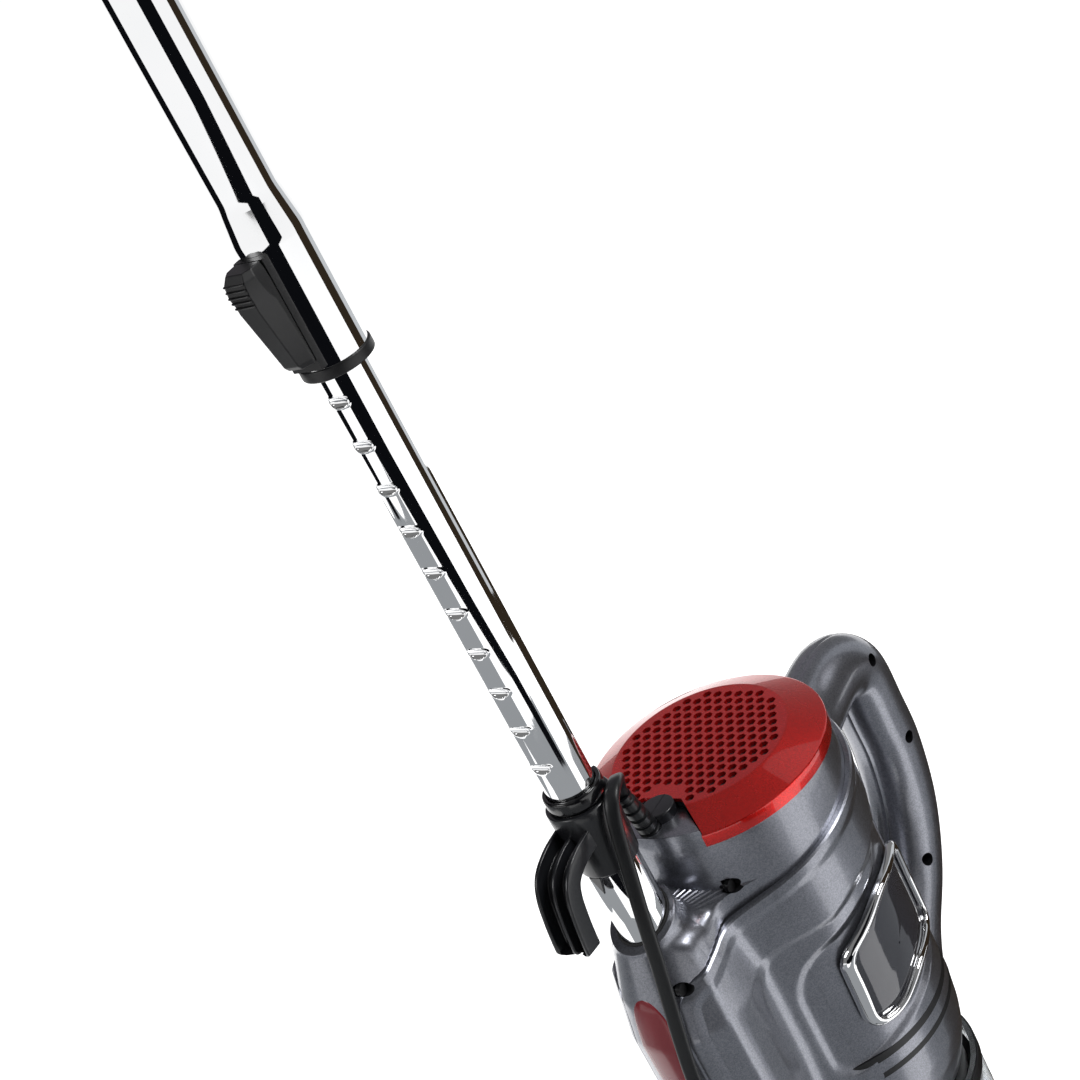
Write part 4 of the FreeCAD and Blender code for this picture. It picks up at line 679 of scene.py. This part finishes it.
def both(a, b, reach):
    """Smooth overlap of two distances: their maximum, rounded where they differ by less than reach."""
    return -blend_of(-a, -b, reach)


def web_distance(x, y, z):
    """How far outside the web between the barrel and the pod: a wedge that narrows to the pod and
    whose top falls away from the collar."""
    side = np.abs(x) - np.interp(y, [40, POLE_Y], [27.0, 18.0])
    top = z - np.interp(y, [57.0, 71, 90], [-37.0, -43.5, -47.0])
    return both(both(side, top, 5.0), np.maximum(y - POLE_Y, 30 - y), 3.0)


def rear_distance(x, y, z):
    """The rear housing's skin: collar, pod and web run together with fillets."""
    collar = np.hypot(x, y) - COLLAR_R
    return blend_of(blend_of(collar, pod_distance(x, y, z), 4.0), web_distance(x, y, z), 14.0)


def panel_distance(x, y, z):
    """The side panels' skin: barrel, pod and web run together with fillets, stepped by the terraces."""
    barrel = np.hypot(x, y) - body_radius(z)
    return blend_of(blend_of(barrel, pod_distance(x, y, z), 10.0), web_distance(x, y, z), 22.0)


def cast(distance, x0, y0, angle, z, low, high, strides=0):
    """For each level ray from (x0, y0), the point where the distance passes zero, by halving. Strides
    walk out from the start first, to halve about the first point outside."""
    low, high = np.full(z.shape, low), high + 0 * z
    if strides:
        stride = (high - low) / strides
        walking = np.ones(z.shape, bool)
        for _ in range(strides):
            ahead = low + stride
            walking &= distance(x0 + ahead * np.sin(angle), y0 + ahead * np.cos(angle), z) <= 0
            low = np.where(walking, ahead, low)
        high = np.minimum(low + stride, high)
    for _ in range(26):
        middle = (low + high) / 2
        outside = distance(x0 + middle * np.sin(angle), y0 + middle * np.cos(angle), z) > 0
        high = np.where(outside, middle, high)
        low = np.where(outside, low, middle)
    return x0 + high * np.sin(angle), y0 + high * np.cos(angle)


def terraces(x, y, z, border):
    """Depth of the stepped bands on a panel: one step inside the border, and two more that follow
    lines falling towards the pod, turn a corner and run down beside the window."""
    along = np.degrees(np.arctan2(np.abs(x), y))
    depth = 1.1 * np.clip((border - 5.0) / LEDGE, 0, 1)
    for knots, heights, corner, foot in (
            ([24, 41, 62, 78, 97, 110, 150], [-74, -75, -76, -71, -67, -61, -40], 22.0, -400.0),
            ([36, 43, 60, 75, 93, 102, 150], [-91, -89, -86, -82, -77, -69, -50], 34.0, -153.0)):
        top = np.interp(along, knots, heights) - z
        side = (along - corner) * BODY_R * np.pi / 180
        under = z - (foot + 0.25 * (along - 57))
        inside = blend_of(blend_of(top, side, 20.0), under, 16.0)
        depth = depth + TERRACE_DEPTH * np.clip(0.5 + inside / LEDGE, 0, 1)
    return depth


def panel(name, side, node):
    """One side panel: level rays from a spine that runs from the barrel's axis to the pole's meet its
    skin between the sloping seam and the lower edge; its edges turn in."""
    columns, rows = 300, 200
    u = np.linspace(0, 1, columns)[:, None]
    v = np.linspace(0, 1, rows)[None, :]
    z = SEAM + (PANEL_FOOT - SEAM) * v + 0 * u
    for _ in range(3):
        spine_turn = np.arcsin(np.clip(SPINE_HALF / pod_radius(z), 0, 0.985))
        round_barrel = np.interp(u, [0, LEAVE, JOIN], [np.pi, np.radians(42), np.radians(80)])
        tail = np.clip((u - JOIN) / (1 - JOIN), 0, 1)
        angle = np.radians(80) * (1 - tail) + spine_turn * tail
        angle = np.where(u > JOIN, angle, round_barrel)
        y0 = POLE_Y * step(u - LEAVE, JOIN - LEAVE) + 0 * z
        x, y = cast(panel_distance, 0.0, y0, angle, z, 3.0, 150.0)
        edge = SEAM + SEAM_SLOPE * y[:, :1]
        near = np.clip(9 - (np.abs(x[:, :1]) - SPINE_HALF) * 1.4, 0, 9) * (y[:, :1] > POLE_Y)
        edge = edge - (9 - np.sqrt(81 - near ** 2))
        z = edge + (PANEL_FOOT - edge) * v
    from_edge = edge - z
    from_spine = np.where(y > POLE_Y, (np.abs(x) - SPINE_HALF) * 1.25, 99)
    near_edge = np.minimum(from_edge, np.maximum(from_spine, 0))
    corner = 14.0
    rounded = corner - np.hypot(corner - from_edge, corner - np.clip(from_spine, 0, corner))
    border = np.where((from_edge < corner) & (from_spine < corner), np.maximum(rounded, 0), near_edge)
    depth = terraces(x, y, z, border)
    depth = depth + window_depth(y, z) * (np.abs(x) > 20)
    x, y = drawn_in(x, y, y0, depth + rolled(near_edge, 0.7))
    skin = np.stack([side * x, y, z], -1)
    x, y = drawn_in(x, y, y0, WALL)
    lining = np.stack([side * x, y, z], -1)
    picks = np.linspace(rows - 1, 0, 12).astype(int)
    loop = np.concatenate([skin, lining[:, picks]], 1)
    item = stack(name, loop, graphite, "main_body", (node,), angle=40)
    if side < 0:
        bored(item, RECESSES)


WINDOW = [
    (-31.0, -80.0), (2.0, -80.5), (33.5, -96.0), (34.5, -138.0), (22.0, -140.5), (-4.0, -132.0),
    (-31.0, -127.0),
]


def window_depth(y, z):
    """A pit 2.4 mm deep inside the window's outline, found from the distances to its edges."""
    corners = np.array(WINDOW)
    inside = np.full(np.shape(y), 99.0)
    for a, b in zip(corners, np.roll(corners, -1, 0)):
        run = (b - a) / np.linalg.norm(b - a)
        within = (z - a[1]) * run[0] - (y - a[0]) * run[1]
        inside = blend_of(inside, within, 3.0)
    return 2.4 * step(inside - 0.6, 2.4)


def on_barrel(yz, radius, side):
    """Points of the outline laid on a cylinder of that radius about the body axis."""
    y, z = yz[..., 0], yz[..., 1]
    return np.stack([side * np.sqrt(np.maximum(radius ** 2 - y ** 2, 1)), y, z], -1)


# The frame's section, as distances inside the outline and radii from the body's axis, and the
# pane's, as shares of the way out from its middle and radii.
BEAD = [(-0.1, 57.6), (-0.1, 60.2), (0.7, 61.2), (2.0, 61.5), (3.3, 61.2), (4.2, 60.0), (4.2, 57.6)]
PANE = [(1.0, 57.4), (1.0, 58.2), (0.98, 58.5), (0.8, 58.7), (0.55, 58.8), (0.3, 58.8), (0.02, 58.8),
        (0.02, 57.2), (1.0, 57.2)]


def windows():
    """Chrome frames: a half-round bead carried round the outline on the barrel; and the panes, a
    shallow crowned sheet inside each."""
    outline = softened(WINDOW, 8.0, 8, True)
    t = np.linspace(0, 1, len(outline) + 1)
    fine = np.linspace(0, 1, 220, endpoint=False)
    closed = np.vstack([outline, outline[:1]])
    outline = np.stack([np.interp(fine, t, closed[:, k]) for k in (0, 1)], -1)
    centre = outline.mean(0)
    away = outline - centre
    reach = np.linalg.norm(away, axis=1)[:, None]
    for side, word, parts in ((-1, "left", ("window_frames", "windows")), (1, "right", ())):
        bead = [on_barrel(centre + away * (1 - inset / reach), radius, side) for inset, radius in BEAD]
        bead = np.array(bead)
        stack(f"window_frame_{word}", bead, chrome_trim, "main_body", parts[:1], True, 60)
        inner = away * (1 - 4.0 / reach)
        pane = [on_barrel(centre + inner * share, radius, side) for share, radius in PANE]
        stack(f"window_pane_{word}", np.array(pane), smoked, "main_body", parts[1:], True, 60)


def collar_skin():
    """The rear housing's collar: a turned shell that runs down inside the side panels."""
    inner = COLLAR_R - WALL
    profile = [(COLLAR_R, SKIN_FOOT), (COLLAR_R, -COLLAR_DROP), (inner, -COLLAR_DROP), (inner, SKIN_FOOT)]
    profile = softened(profile, 0.7, 4, True)
    item = stack("collar_shell", turned(profile, segments=240), graphite, "main_body",
                 ("rear_housing_left", "rear_housing_right"), True, 40)
    bored(item, RECESSES)


def pod_skin():
    """The top of the pod: level rays from the pole's axis meet the skin between the sloping mouth and
    below the seam, where it tucks under the panels; towards the barrel they end inside the collar."""
    columns, rows = 360, 90
    angle = np.linspace(-np.pi, np.pi, columns, endpoint=False)[:, None]
    v = np.linspace(0, 1, rows)[None, :]
    mouth = MOUTH + 0 * angle
    across = POLE_Y * np.cos(angle)
    meets = across ** 2 - POLE_Y ** 2 + 50.0 ** 2
    reach = np.where((across < 0) & (meets > 0), -across - np.sqrt(np.maximum(meets, 0)), 75.0)
    for _ in range(4):
        z = mouth + (SKIN_FOOT - mouth) * v
        x, y = cast(rear_distance, 0.0, POLE_Y, angle, z, 0.5, reach, 60)
        mouth = mouth_level(y[:, :1])
    below = SEAM + SEAM_SLOPE * y - z
    strip = (np.abs(x) < SPINE_HALF) & (y > POLE_Y)
    tuck = 1.3 * step(below + 0.2, 0.5) * np.where(strip, 0, 1)
    x, y = drawn_in(x, y, POLE_Y, tuck + rolled(mouth - z, 0.6))
    skin = np.stack([x, y, z], -1)
    sill = (MOUTH_BORE, 30), (MOUTH_BORE, 0.6), (MOUTH_BORE + 0.6, 0)
    bore = [mouth_ring(radius, drop, angle[:, 0]) for radius, drop in sill]
    loop = np.concatenate([np.stack(bore, 1), skin], 1)
    item = stack("pod_top_skin", loop, graphite, "main_body", (), True, 40)
    bored(item, RECESSES)


def spine_strip():
    """The strip of the rear housing down the back of the pod, between the two side panels."""
    z = np.linspace(SKIN_FOOT, PANEL_FOOT - 0.4, 160)[:, None]
    half = np.minimum(SPINE_HALF, pod_radius(z) * 0.985)
    x = np.linspace(-1, 1, 45)[None, :] * half
    y = POLE_Y + np.sqrt(np.maximum(pod_radius(z) ** 2 - x ** 2, 0.05))
    y = y - rolled(half - np.abs(x), 0.6)
    z = z + 0 * x
    front = np.stack([x, y, z], -1)
    back = np.stack([x, y - WALL, z], -1)
    strip = np.concatenate([front, back[:, ::-1]], 1)
    stack("rear_housing_spine", strip, graphite, "main_body", angle=40)


def deck():
    """The raised deck at the back of the collar, and the split boss that grips the strain relief."""
    inner, edge_y = 36.0, math.sqrt(COLLAR_R ** 2 - DECK_HALF ** 2)
    corner = math.atan2(edge_y, DECK_HALF)
    arc = np.linspace(corner, math.pi - corner, 24)
    rim = [(COLLAR_R * math.cos(a), COLLAR_R * math.sin(a)) for a in arc]
    outline = np.array([(-10.0, inner), (10.0, inner)] + rim)
    centre = outline.mean(0)
    levels = [(-COLLAR_DROP - 4, 0.0), (-5.4, 0.0), (-4.8, 0.25), (-4.6, 0.8)]
    rings = []
    for z, inset in levels:
        away = outline - centre
        ring = centre + away * (1 - inset / np.linalg.norm(away, axis=1)[:, None])
        rings.append(np.column_stack([ring, np.full(len(ring), z)]))
    item = stack("collar_deck", np.array(rings), graphite, "main_body", angle=25)
    bored(item, [((0, 50.0, -9.0), (0, 51.6, 0.0), 5.2)])
    profile = softened([(0.05, 0.2), (8.0, 0.2), (8.0, -13.2), (0.05, -13.2)], 0.8, 4)
    profile = turned(profile, (0, BOSS_Y), 64)
    # The boss is given the near-black resin as painted shade: it stands for the dark overhead reflected
    # in its top.
    stack("collar_boss", profile, dark_graphite_and_boss_shade, "main_body", angle=40)
    slit = [[(-0.21, 33.4, z), (0.21, 33.4, z), (0.21, 48.6, z), (-0.21, 48.6, z)] for z in (-3, 0.26)]
    stack("boss_joint", np.array(slit), satin_black_and_bore_shade, "main_body")


CAP_PROFILE = [(0.05, 0.0), (42.2, 0.0), (56.5, -6.5), (57.8, -7.1), (57.8, -13.2)]
CAP_INSIDE = [(55.8, -13.2), (55.8, -8.5), (54.5, -7.9), (41.4, -2.0), (0.05, -2.0)]
HOLE_PITCH, HOLE_FLATS = 5.8, 4.0


def cap_holes():
    """Centres of the cap's hexagonal holes: staggered rows inside the plate, clear of the boss."""
    row, column = np.meshgrid(np.arange(-9, 10), np.arange(-9, 10), indexing="ij")
    x, y = (column + (row % 2) / 2) * HOLE_PITCH, row * HOLE_PITCH * 0.866
    clear = (np.hypot(x, y - BOSS_Y) > 14.5) & ((y < 34.5) | (abs(x) > 12))
    keep = (np.hypot(x, y) < CAP_PROFILE[1][0] - HOLE_FLATS * 0.8) & clear
    return np.stack([x[keep], y[keep]], -1)


def cap():
    """The exhaust cap: a turned, chamfered dish cut away over the deck, its plate pierced by hexagons
    in staggered rows."""
    profile = turned(np.vstack([softened(CAP_PROFILE, 0.5, 3), CAP_INSIDE]), segments=192)
    item = stack("exhaust_cap", profile, candy_red, "main_body", ("grille_cap",), angle=12)
    turn = np.radians(30 + 60 * np.arange(6))
    ring = HOLE_FLATS / 1.732 * np.stack([np.cos(turn), np.sin(turn)], -1)
    base = cap_holes()[:, None] + ring
    low = np.concatenate([base, np.full(base.shape[:2] + (1,), -4.0)], -1)
    prisms = np.stack([low, low + (0, 0, 6.0)], 1)
    sides = tiles(2, 6, False, True) + [list(range(6)), list(range(6, 12))]
    faces = [[first + i for i in face] for first in range(0, len(base) * 12, 12) for face in sides]
    holes = piece("cap_holes", prisms.reshape(-1, 3), faces, candy_red, "main_body")
    half = DECK_HALF + 0.2
    edge = math.sqrt(COLLAR_R ** 2 - half ** 2) - 0.2
    plan = [(-half, edge), (-10.2, 35.8), (10.2, 35.8), (half, edge), (half, 90), (-half, 90)]
    notch = np.array([[(x, y, z) for x, y in plan] for z in (-20.0, 5.0)])
    cut(item, [stack("cap_notch", notch, candy_red, "main_body"), holes], 12)


def mouth_gasket():
    """The thin gasket between the pod's mouth and the pole."""
    angle = full_turn(96)
    section = [(12.35, 6.0), (12.35, -0.5), (12.7, -0.9), (13.2, -0.7), (13.4, -0.2), (12.5, 6.0)]
    rings = np.array([mouth_ring(radius, drop, angle) for radius, drop in section])
    stack("mouth_gasket", rings, rubber, "main_body", ("socket_gasket",), True, 40)


HANDLE_LINE = [
    (-48, -48.0), (-76, -45.5), (-102, -43.5), (-117.5, -54.0), (-119.5, -80.0), (-119.0, -104.0),
    (-111.0, -134.0), (-94.0, -161.0), (-71, -181.0), (-50.0, -199.0),
]
HANDLE_HALVES = (16.4, 16.8)     # half width and half depth
HANDLE_SCREWS = [(-117.0, -47.0), (-118.0, -96.0), (-92.0, -153.0)]


def carrying_handle():
    """The carrying handle: an oval carried along its line; it flares where it runs into the barrel, and
    a fine groove marks the joint of its two mouldings."""
    count = 150
    line = spline([(0, y, z) for y, z in HANDLE_LINE], count)
    out = -line[:, 1] - np.interp(line[:, 2], BODY_LEVELS, BODY_RADII)
    flare = 1 + 0.30 * np.exp(-np.maximum(out, 0) / 9.0)
    t = full_turn(96)
    groove = 1 - 0.028 * np.exp(-(np.cos(t) / 0.035) ** 2)
    section = oval(*HANDLE_HALVES, 96, 2.15) * groove[:, None]
    grid = carried(line, section[None] * flare[:, None, None], (-1, 0, 0))
    item = stack("carrying_handle", grid, graphite, "main_body", angle=50)
    bored(item, [((-30, y, z), (-8, y, z), SCREW_R) for y, z in HANDLE_SCREWS])


def release_leaf():
    """The release button: a leaf between two arcs on the back of the pod, crowned across its width."""
    top, foot = -55.0, -118.0
    rows, columns = 60, 30
    t = np.linspace(-1, 1, rows)[:, None]
    s = np.linspace(-1, 1, columns)[None, :]
    half = 10.0 * (1 - t ** 4) ** 0.6 + 0.05
    z = (top + foot) / 2 - t * (top - foot) / 2 + 0 * s
    x = half * s
    crown = 0.9 * np.sqrt(np.maximum(1 - s ** 2, 0)) * np.sqrt(np.maximum(1 - t ** 4, 0))
    y = POLE_Y + np.sqrt(pod_radius(z) ** 2 - x ** 2) - 0.1 + crown
    front = np.stack([x, y, z], -1)
    back = np.stack([x, y - 2.5 - crown, z], -1)
    leaf = np.concatenate([front, back[:, ::-1]], 1)
    stack("release_leaf", leaf, red_clear, "pole_release", ("release_button",), angle=50)


def relief():
    """The strain relief: a tapering sleeve with grooves at even steps, following the lead as it leans."""
    line = spline([(0, 50, -11), (0, 51.6, -2), (0, 53.6, 8), (0, 56.4, 20)], 140)
    share = np.linspace(0, 1, 140)
    groove = step(np.cos(2 * np.pi * share * 6.5) - 0.35, 0.3)
    groove = groove * step(share - 0.26, 0.02) * step(0.96 - share, 0.02)
    radius = np.interp(share, [0, 0.3, 1], [4.9, 4.9, 4.0]) - 1.0 * groove
    section = oval(1.0, 1.0, 40)[None] * radius[:, None, None]
    sleeve = carried(line, section, (1, 0, 0))
    stack("strain_relief_sleeve", sleeve, soft_pvc, "main_body", ("strain_relief",), angle=50)


panel("side_panel_left_skin", -1, "side_panel_left")
panel("side_panel_right_skin", 1, "side_panel_right")
collar_skin()
pod_skin()
spine_strip()
windows()
deck()
cap()
mouth_gasket()
carrying_handle()
release_leaf()
relief()


# ---------------------------------------------------------------- dust cup, neck and floor head

def cup():
    """The clear dust cup: a turned shell with rounded corners and a stiffening bead."""
    rim = -210.0
    low = FLOOR
    outside = [(54, rim), (54, rim - 30), (50.5, low + 204), (40, low + 188), (22, low + 181),
               (19, low + 176), (19, low + 112)]
    inside = [(17.6, low + 112), (17.6, low + 186), (38.5, low + 190.5), (48, low + 205.5),
              (51.5, rim - 30), (51.5, rim)]
    profile = np.vstack([softened(outside, 5.0, 6), softened(inside, 4.0, 5)])
    stack("dust_cup_shell", turned(profile, segments=128), clear, "cup", ("dust_cup",), True, 40)
    band = [(54.9, rim - 0.5), (54.9, rim - 7.5), (53.9, rim - 7.5), (53.9, rim - 0.5)]
    band = softened(band, 0.45, 3, True)
    stack("dust_cup_band", turned(band, segments=128), satin_black_and_bore_shade, "cup", (), True)


WHEEL_X, WHEEL_Y, WHEEL_R = 64.0, 42.0, 18.0


def wheel(side, body, node):
    """A small wheel: a turned section about a level axle, its tread crowned and grooved."""
    profile = [(2.7, -8), (12.5, -8), (13, -7.6), (17, -8), (17.7, -7), (18, -4), (18, -0.9),
               (17.3, -0.5), (17.3, 0.5), (18, 0.9), (18, 4), (17.7, 7), (17, 8), (13, 7.2), (12, 5),
               (6, 5), (5, 5.6), (2.7, 5.6)]
    profile = softened(profile, 0.5, 2, True) * (1, side) + (0, WHEEL_X * side)
    grid = turned(profile, (WHEEL_Y, FLOOR + WHEEL_R), 72, (2, 0, 1))
    stack(f"wheel_{'left' if side < 0 else 'right'}_tyre", grid, elastomer, body, (node,), True, 35)


cup()
wheel(-1, "left_wheel", "wheel_left")
wheel(1, "right_wheel", "wheel_right")


# ---------------------------------------------------------------- plug and carried-over nodes

def plug():
    """The moulded plug: round sections along its axis, ribbed behind its rounded face."""
    x, y, z = TAIL_ROUTE[-1]
    profile = [(0.2, 2), (3.4, 2), (3.8, -2), (4.0, -4), (4.6, -5), (4.2, -7), (5.0, -8), (4.8, -11),
               (6.2, -14), (9.0, -17), (11.5, -26), (12.0, -34), (13.5, -37), (17.0, -39), (17.4, -42),
               (17.0, -45), (0.2, -45)]
    profile = softened(profile, 1.2, 4) + (0, y)
    grid = turned(profile, (x, z + FLOOR), 80, (0, 2, 1))
    return stack("plug_moulding", grid, soft_pvc, "main_body", ("plug_body",), angle=40)


plug_moulding = plug()

CARRIED = {
    graphite: ["neck_elbow", "head_cover", "pole_socket"],
    candy_red: ["cup_latch_button"],
    satin_black_and_bore_shade: ["filter_tray", "motor_bulkhead", "switch_body", "intake_collar", "filter_cage",
                  "fan_impeller", "slide_bush", "inlet_pipe", "head_sole"],
    gloss_black: ["switch_slider"],
    rubber: ["motor_mount", "cup_seal", "inlet_flap", "bumper"],
    foam: ["exhaust_filter"],
    paper: ["pleated_filter"],
    carbon: ["carbon_brushes"],
    bristle: ["bristle_strips"],
    nickel: ["plug_pins"],
    black_steel: ["shell_screws"],
    steel: ["motor_bearings", "motor_shaft", "release_spring", "latch_spring", "head_fasteners"],
    plated: ["motor_can", "fan_diaphragm", "motor_stator", "armature"],
}
BEVELS = {"neck_elbow": 0.8, "head_cover": 1.6, "head_sole": 0.5, "switch_slider": 0.8,
          "cup_latch_button": 0.8, "bumper": 0.7, "plug_pins": 0.5}
for material, names in CARRIED.items():
    for name in names:
        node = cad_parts[name]
        node.data.materials.clear()
        node.data.materials.append(material)
        if name in BEVELS:
            bevelled(node, BEVELS[name])


# ---------------------------------------------------------------- studio

def stage_piece(name, corners, faces, material):
    """A flat stage piece, corners in metres."""
    mesh = bpy.data.meshes.new(name)
    mesh.from_pydata(corners, [], faces)
    mesh.materials.append(material)
    item = bpy.data.objects.new(name, mesh)
    scene.collection.objects.link(item)
    return item


def card(name, corners, faces, material):
    """A stage piece seen only in mirrors and lacquer."""
    item = stage_piece(name, corners, faces, material)
    item.visible_camera = False
    item.visible_diffuse = False
    item.visible_shadow = False
    item.visible_transmission = False


def looked_at(tree):
    """The light path node, and 1 for a ray from the camera, off a mirror or through glass, else 0."""
    path = add(tree, "LightPath")
    either = {0: path.outputs["Is Camera Ray"], 1: path.outputs["Is Glossy Ray"]}
    seen = add(tree, "Math", either, operation="MAXIMUM").outputs[0]
    either = {0: seen, 1: path.outputs["Is Transmission Ray"]}
    return path, add(tree, "Math", either, operation="MAXIMUM").outputs[0]


FLOOR_LIFT = 0.9     # the floor's own brightness to the camera
SKY_MIRROR = 0.2     # the sky's brightness in mirrors and lacquer
SKY_LIGHT = 0.14     # the sky's brightness as a lamp


def floor_material():
    """Matt white paper: lit by the lamps, and lifted to white where the camera or a mirror sees it."""
    material, tree, shader = blank("paper_backdrop_matt")
    shader.inputs["Base Color"].default_value = linear("#f4f4f4")
    shader.inputs["Roughness"].default_value = 0.9
    shader.inputs["Specular IOR Level"].default_value = 0.0
    lift = add(tree, "Math", {0: looked_at(tree)[1], 1: FLOOR_LIFT}, operation="MULTIPLY")
    shader.inputs["Emission Color"].default_value = (1, 1, 1, 1)
    tree.links.new(lift.outputs[0], shader.inputs["Emission Strength"])
    return material


FLOOR_HALF = 30.0     # metres
corners = [(x * FLOOR_HALF, y * FLOOR_HALF, 0) for x, y in ((-1, -1), (1, -1), (1, 1), (-1, 1))]
stage_piece("floor", corners, [(0, 1, 2, 3)], floor_material())

# Flags and cards seen only in reflections: their edges make the streaks in the chrome and the lacquer.
TO_CAMERA = 137.5     # direction from the pole to the camera, degrees from +X


def glow(name, code):
    """A card of one even brightness, lit by its own emission and nothing else."""
    material, _, shader = blank(name)
    shader.inputs["Base Color"].default_value = (0, 0, 0, 1)
    shader.inputs["Specular IOR Level"].default_value = 0.0
    shader.inputs["Emission Color"].default_value = linear(code)
    shader.inputs["Emission Strength"].default_value = 1.0
    return material


def flag(name, edges, distance, material):
    """An upright card round the pole: at each height it runs between two directions, counted from the
    camera's."""
    corners = []
    for height, start, end in edges:
        for turn in (start, (start + end) / 2, end):
            a = math.radians(TO_CAMERA + turn)
            corners.append((distance * math.cos(a), 0.085 + distance * math.sin(a), height))
    card(name, corners, tiles(len(edges), 3, False, False), material)


black_card = glow("felt_black_card", "#0c0d10")
brown_card = glow("board_brown_card", "#30281f")
grey_card = glow("board_grey_card", "#9a9da0")
pale_card = glow("board_pale_card", "#c9cccf")
flag("flag_front", [(0.02, 4, 26), (0.12, 0, 24), (0.21, -26, 12), (0.36, -48, 4), (0.60, -50, 10),
                    (0.70, -14, 28), (3.0, -14, 28)], 1.0, black_card)
flag("flag_side", [(0.1, 76, 108), (3.0, 76, 108)], 1.1, brown_card)
flag("flag_beyond", [(0.1, 108, 130), (3.0, 108, 130)], 1.2, pale_card)
flag("flag_left", [(0.30, -114, -98), (0.40, -124, -94), (0.75, -148, -106), (3.0, -148, -106)], 1.0,
     black_card)
flag("flag_low", [(0.0, -150, -40), (0.32, -168, -48)], 1.1, grey_card)


def floor_card(name, start, end, near, far, material):
    """A card lying on the floor between two directions from +X and two distances from the body."""
    turns = np.radians(np.linspace(start, end, 9))
    corners = [(r * math.cos(turn), r * math.sin(turn), 0.002) for r in (near, far) for turn in turns]
    card(name, corners, tiles(2, 9, False, False), material)


flag("card_high", [(1.05, 160, 215), (2.8, 160, 215)], 1.9, glow("board_dim_card", "#858086"))
floor_card("card_dark", 232, 330, 0.15, 1.7, brown_card)
floor_card("card_mid", 196, 232, 0.15, 1.0, grey_card)
floor_card("card_near", 60, 166, 0.12, 1.2, grey_card)

world = bpy.data.worlds.new("studio")
scene.world = world
world.use_nodes = True
tree = world.node_tree
path, seen = looked_at(tree)
above = add(tree, "MapRange", Value=path.outputs["Is Glossy Ray"], To_Min=1.0, To_Max=SKY_MIRROR)
dimmed = add(tree, "Math", {0: seen, 1: above.outputs["Result"]}, operation="MULTIPLY")
level = add(tree, "Math", {0: dimmed.outputs[0], 1: SKY_LIGHT}, operation="MAXIMUM")
tree.links.new(level.outputs[0], tree.nodes["Background"].inputs["Strength"])
tree.nodes["Background"].inputs["Color"].default_value = (1, 1, 1, 1)


def lamp(name, position, aim, size, power):
    """A soft square lamp that faces a point, both in metres."""
    data = bpy.data.lights.new(name, "AREA")
    data.size = size
    data.energy = power
    item = bpy.data.objects.new(name, data)
    item.location = position
    back = np.array(position, float) - np.array(aim, float)
    tilt = math.acos(back[2] / np.linalg.norm(back))
    item.rotation_euler = (tilt, 0, math.atan2(back[1], back[0]) + math.pi / 2)
    scene.collection.objects.link(item)
    return item


lamp("key_lamp", (-1.5, -0.5, 1.9), (0, 0, 0.5), 0.8, 26)
lamp("fill_lamp", (0.9, 1.9, 1.9), (0, 0, 0.5), 1.1, 16)
lamp("front_lamp", (1.5, -1.3, 1.5), (0, 0, 0.5), 1.2, 12).visible_glossy = False

scene.view_settings.view_transform = "Standard"
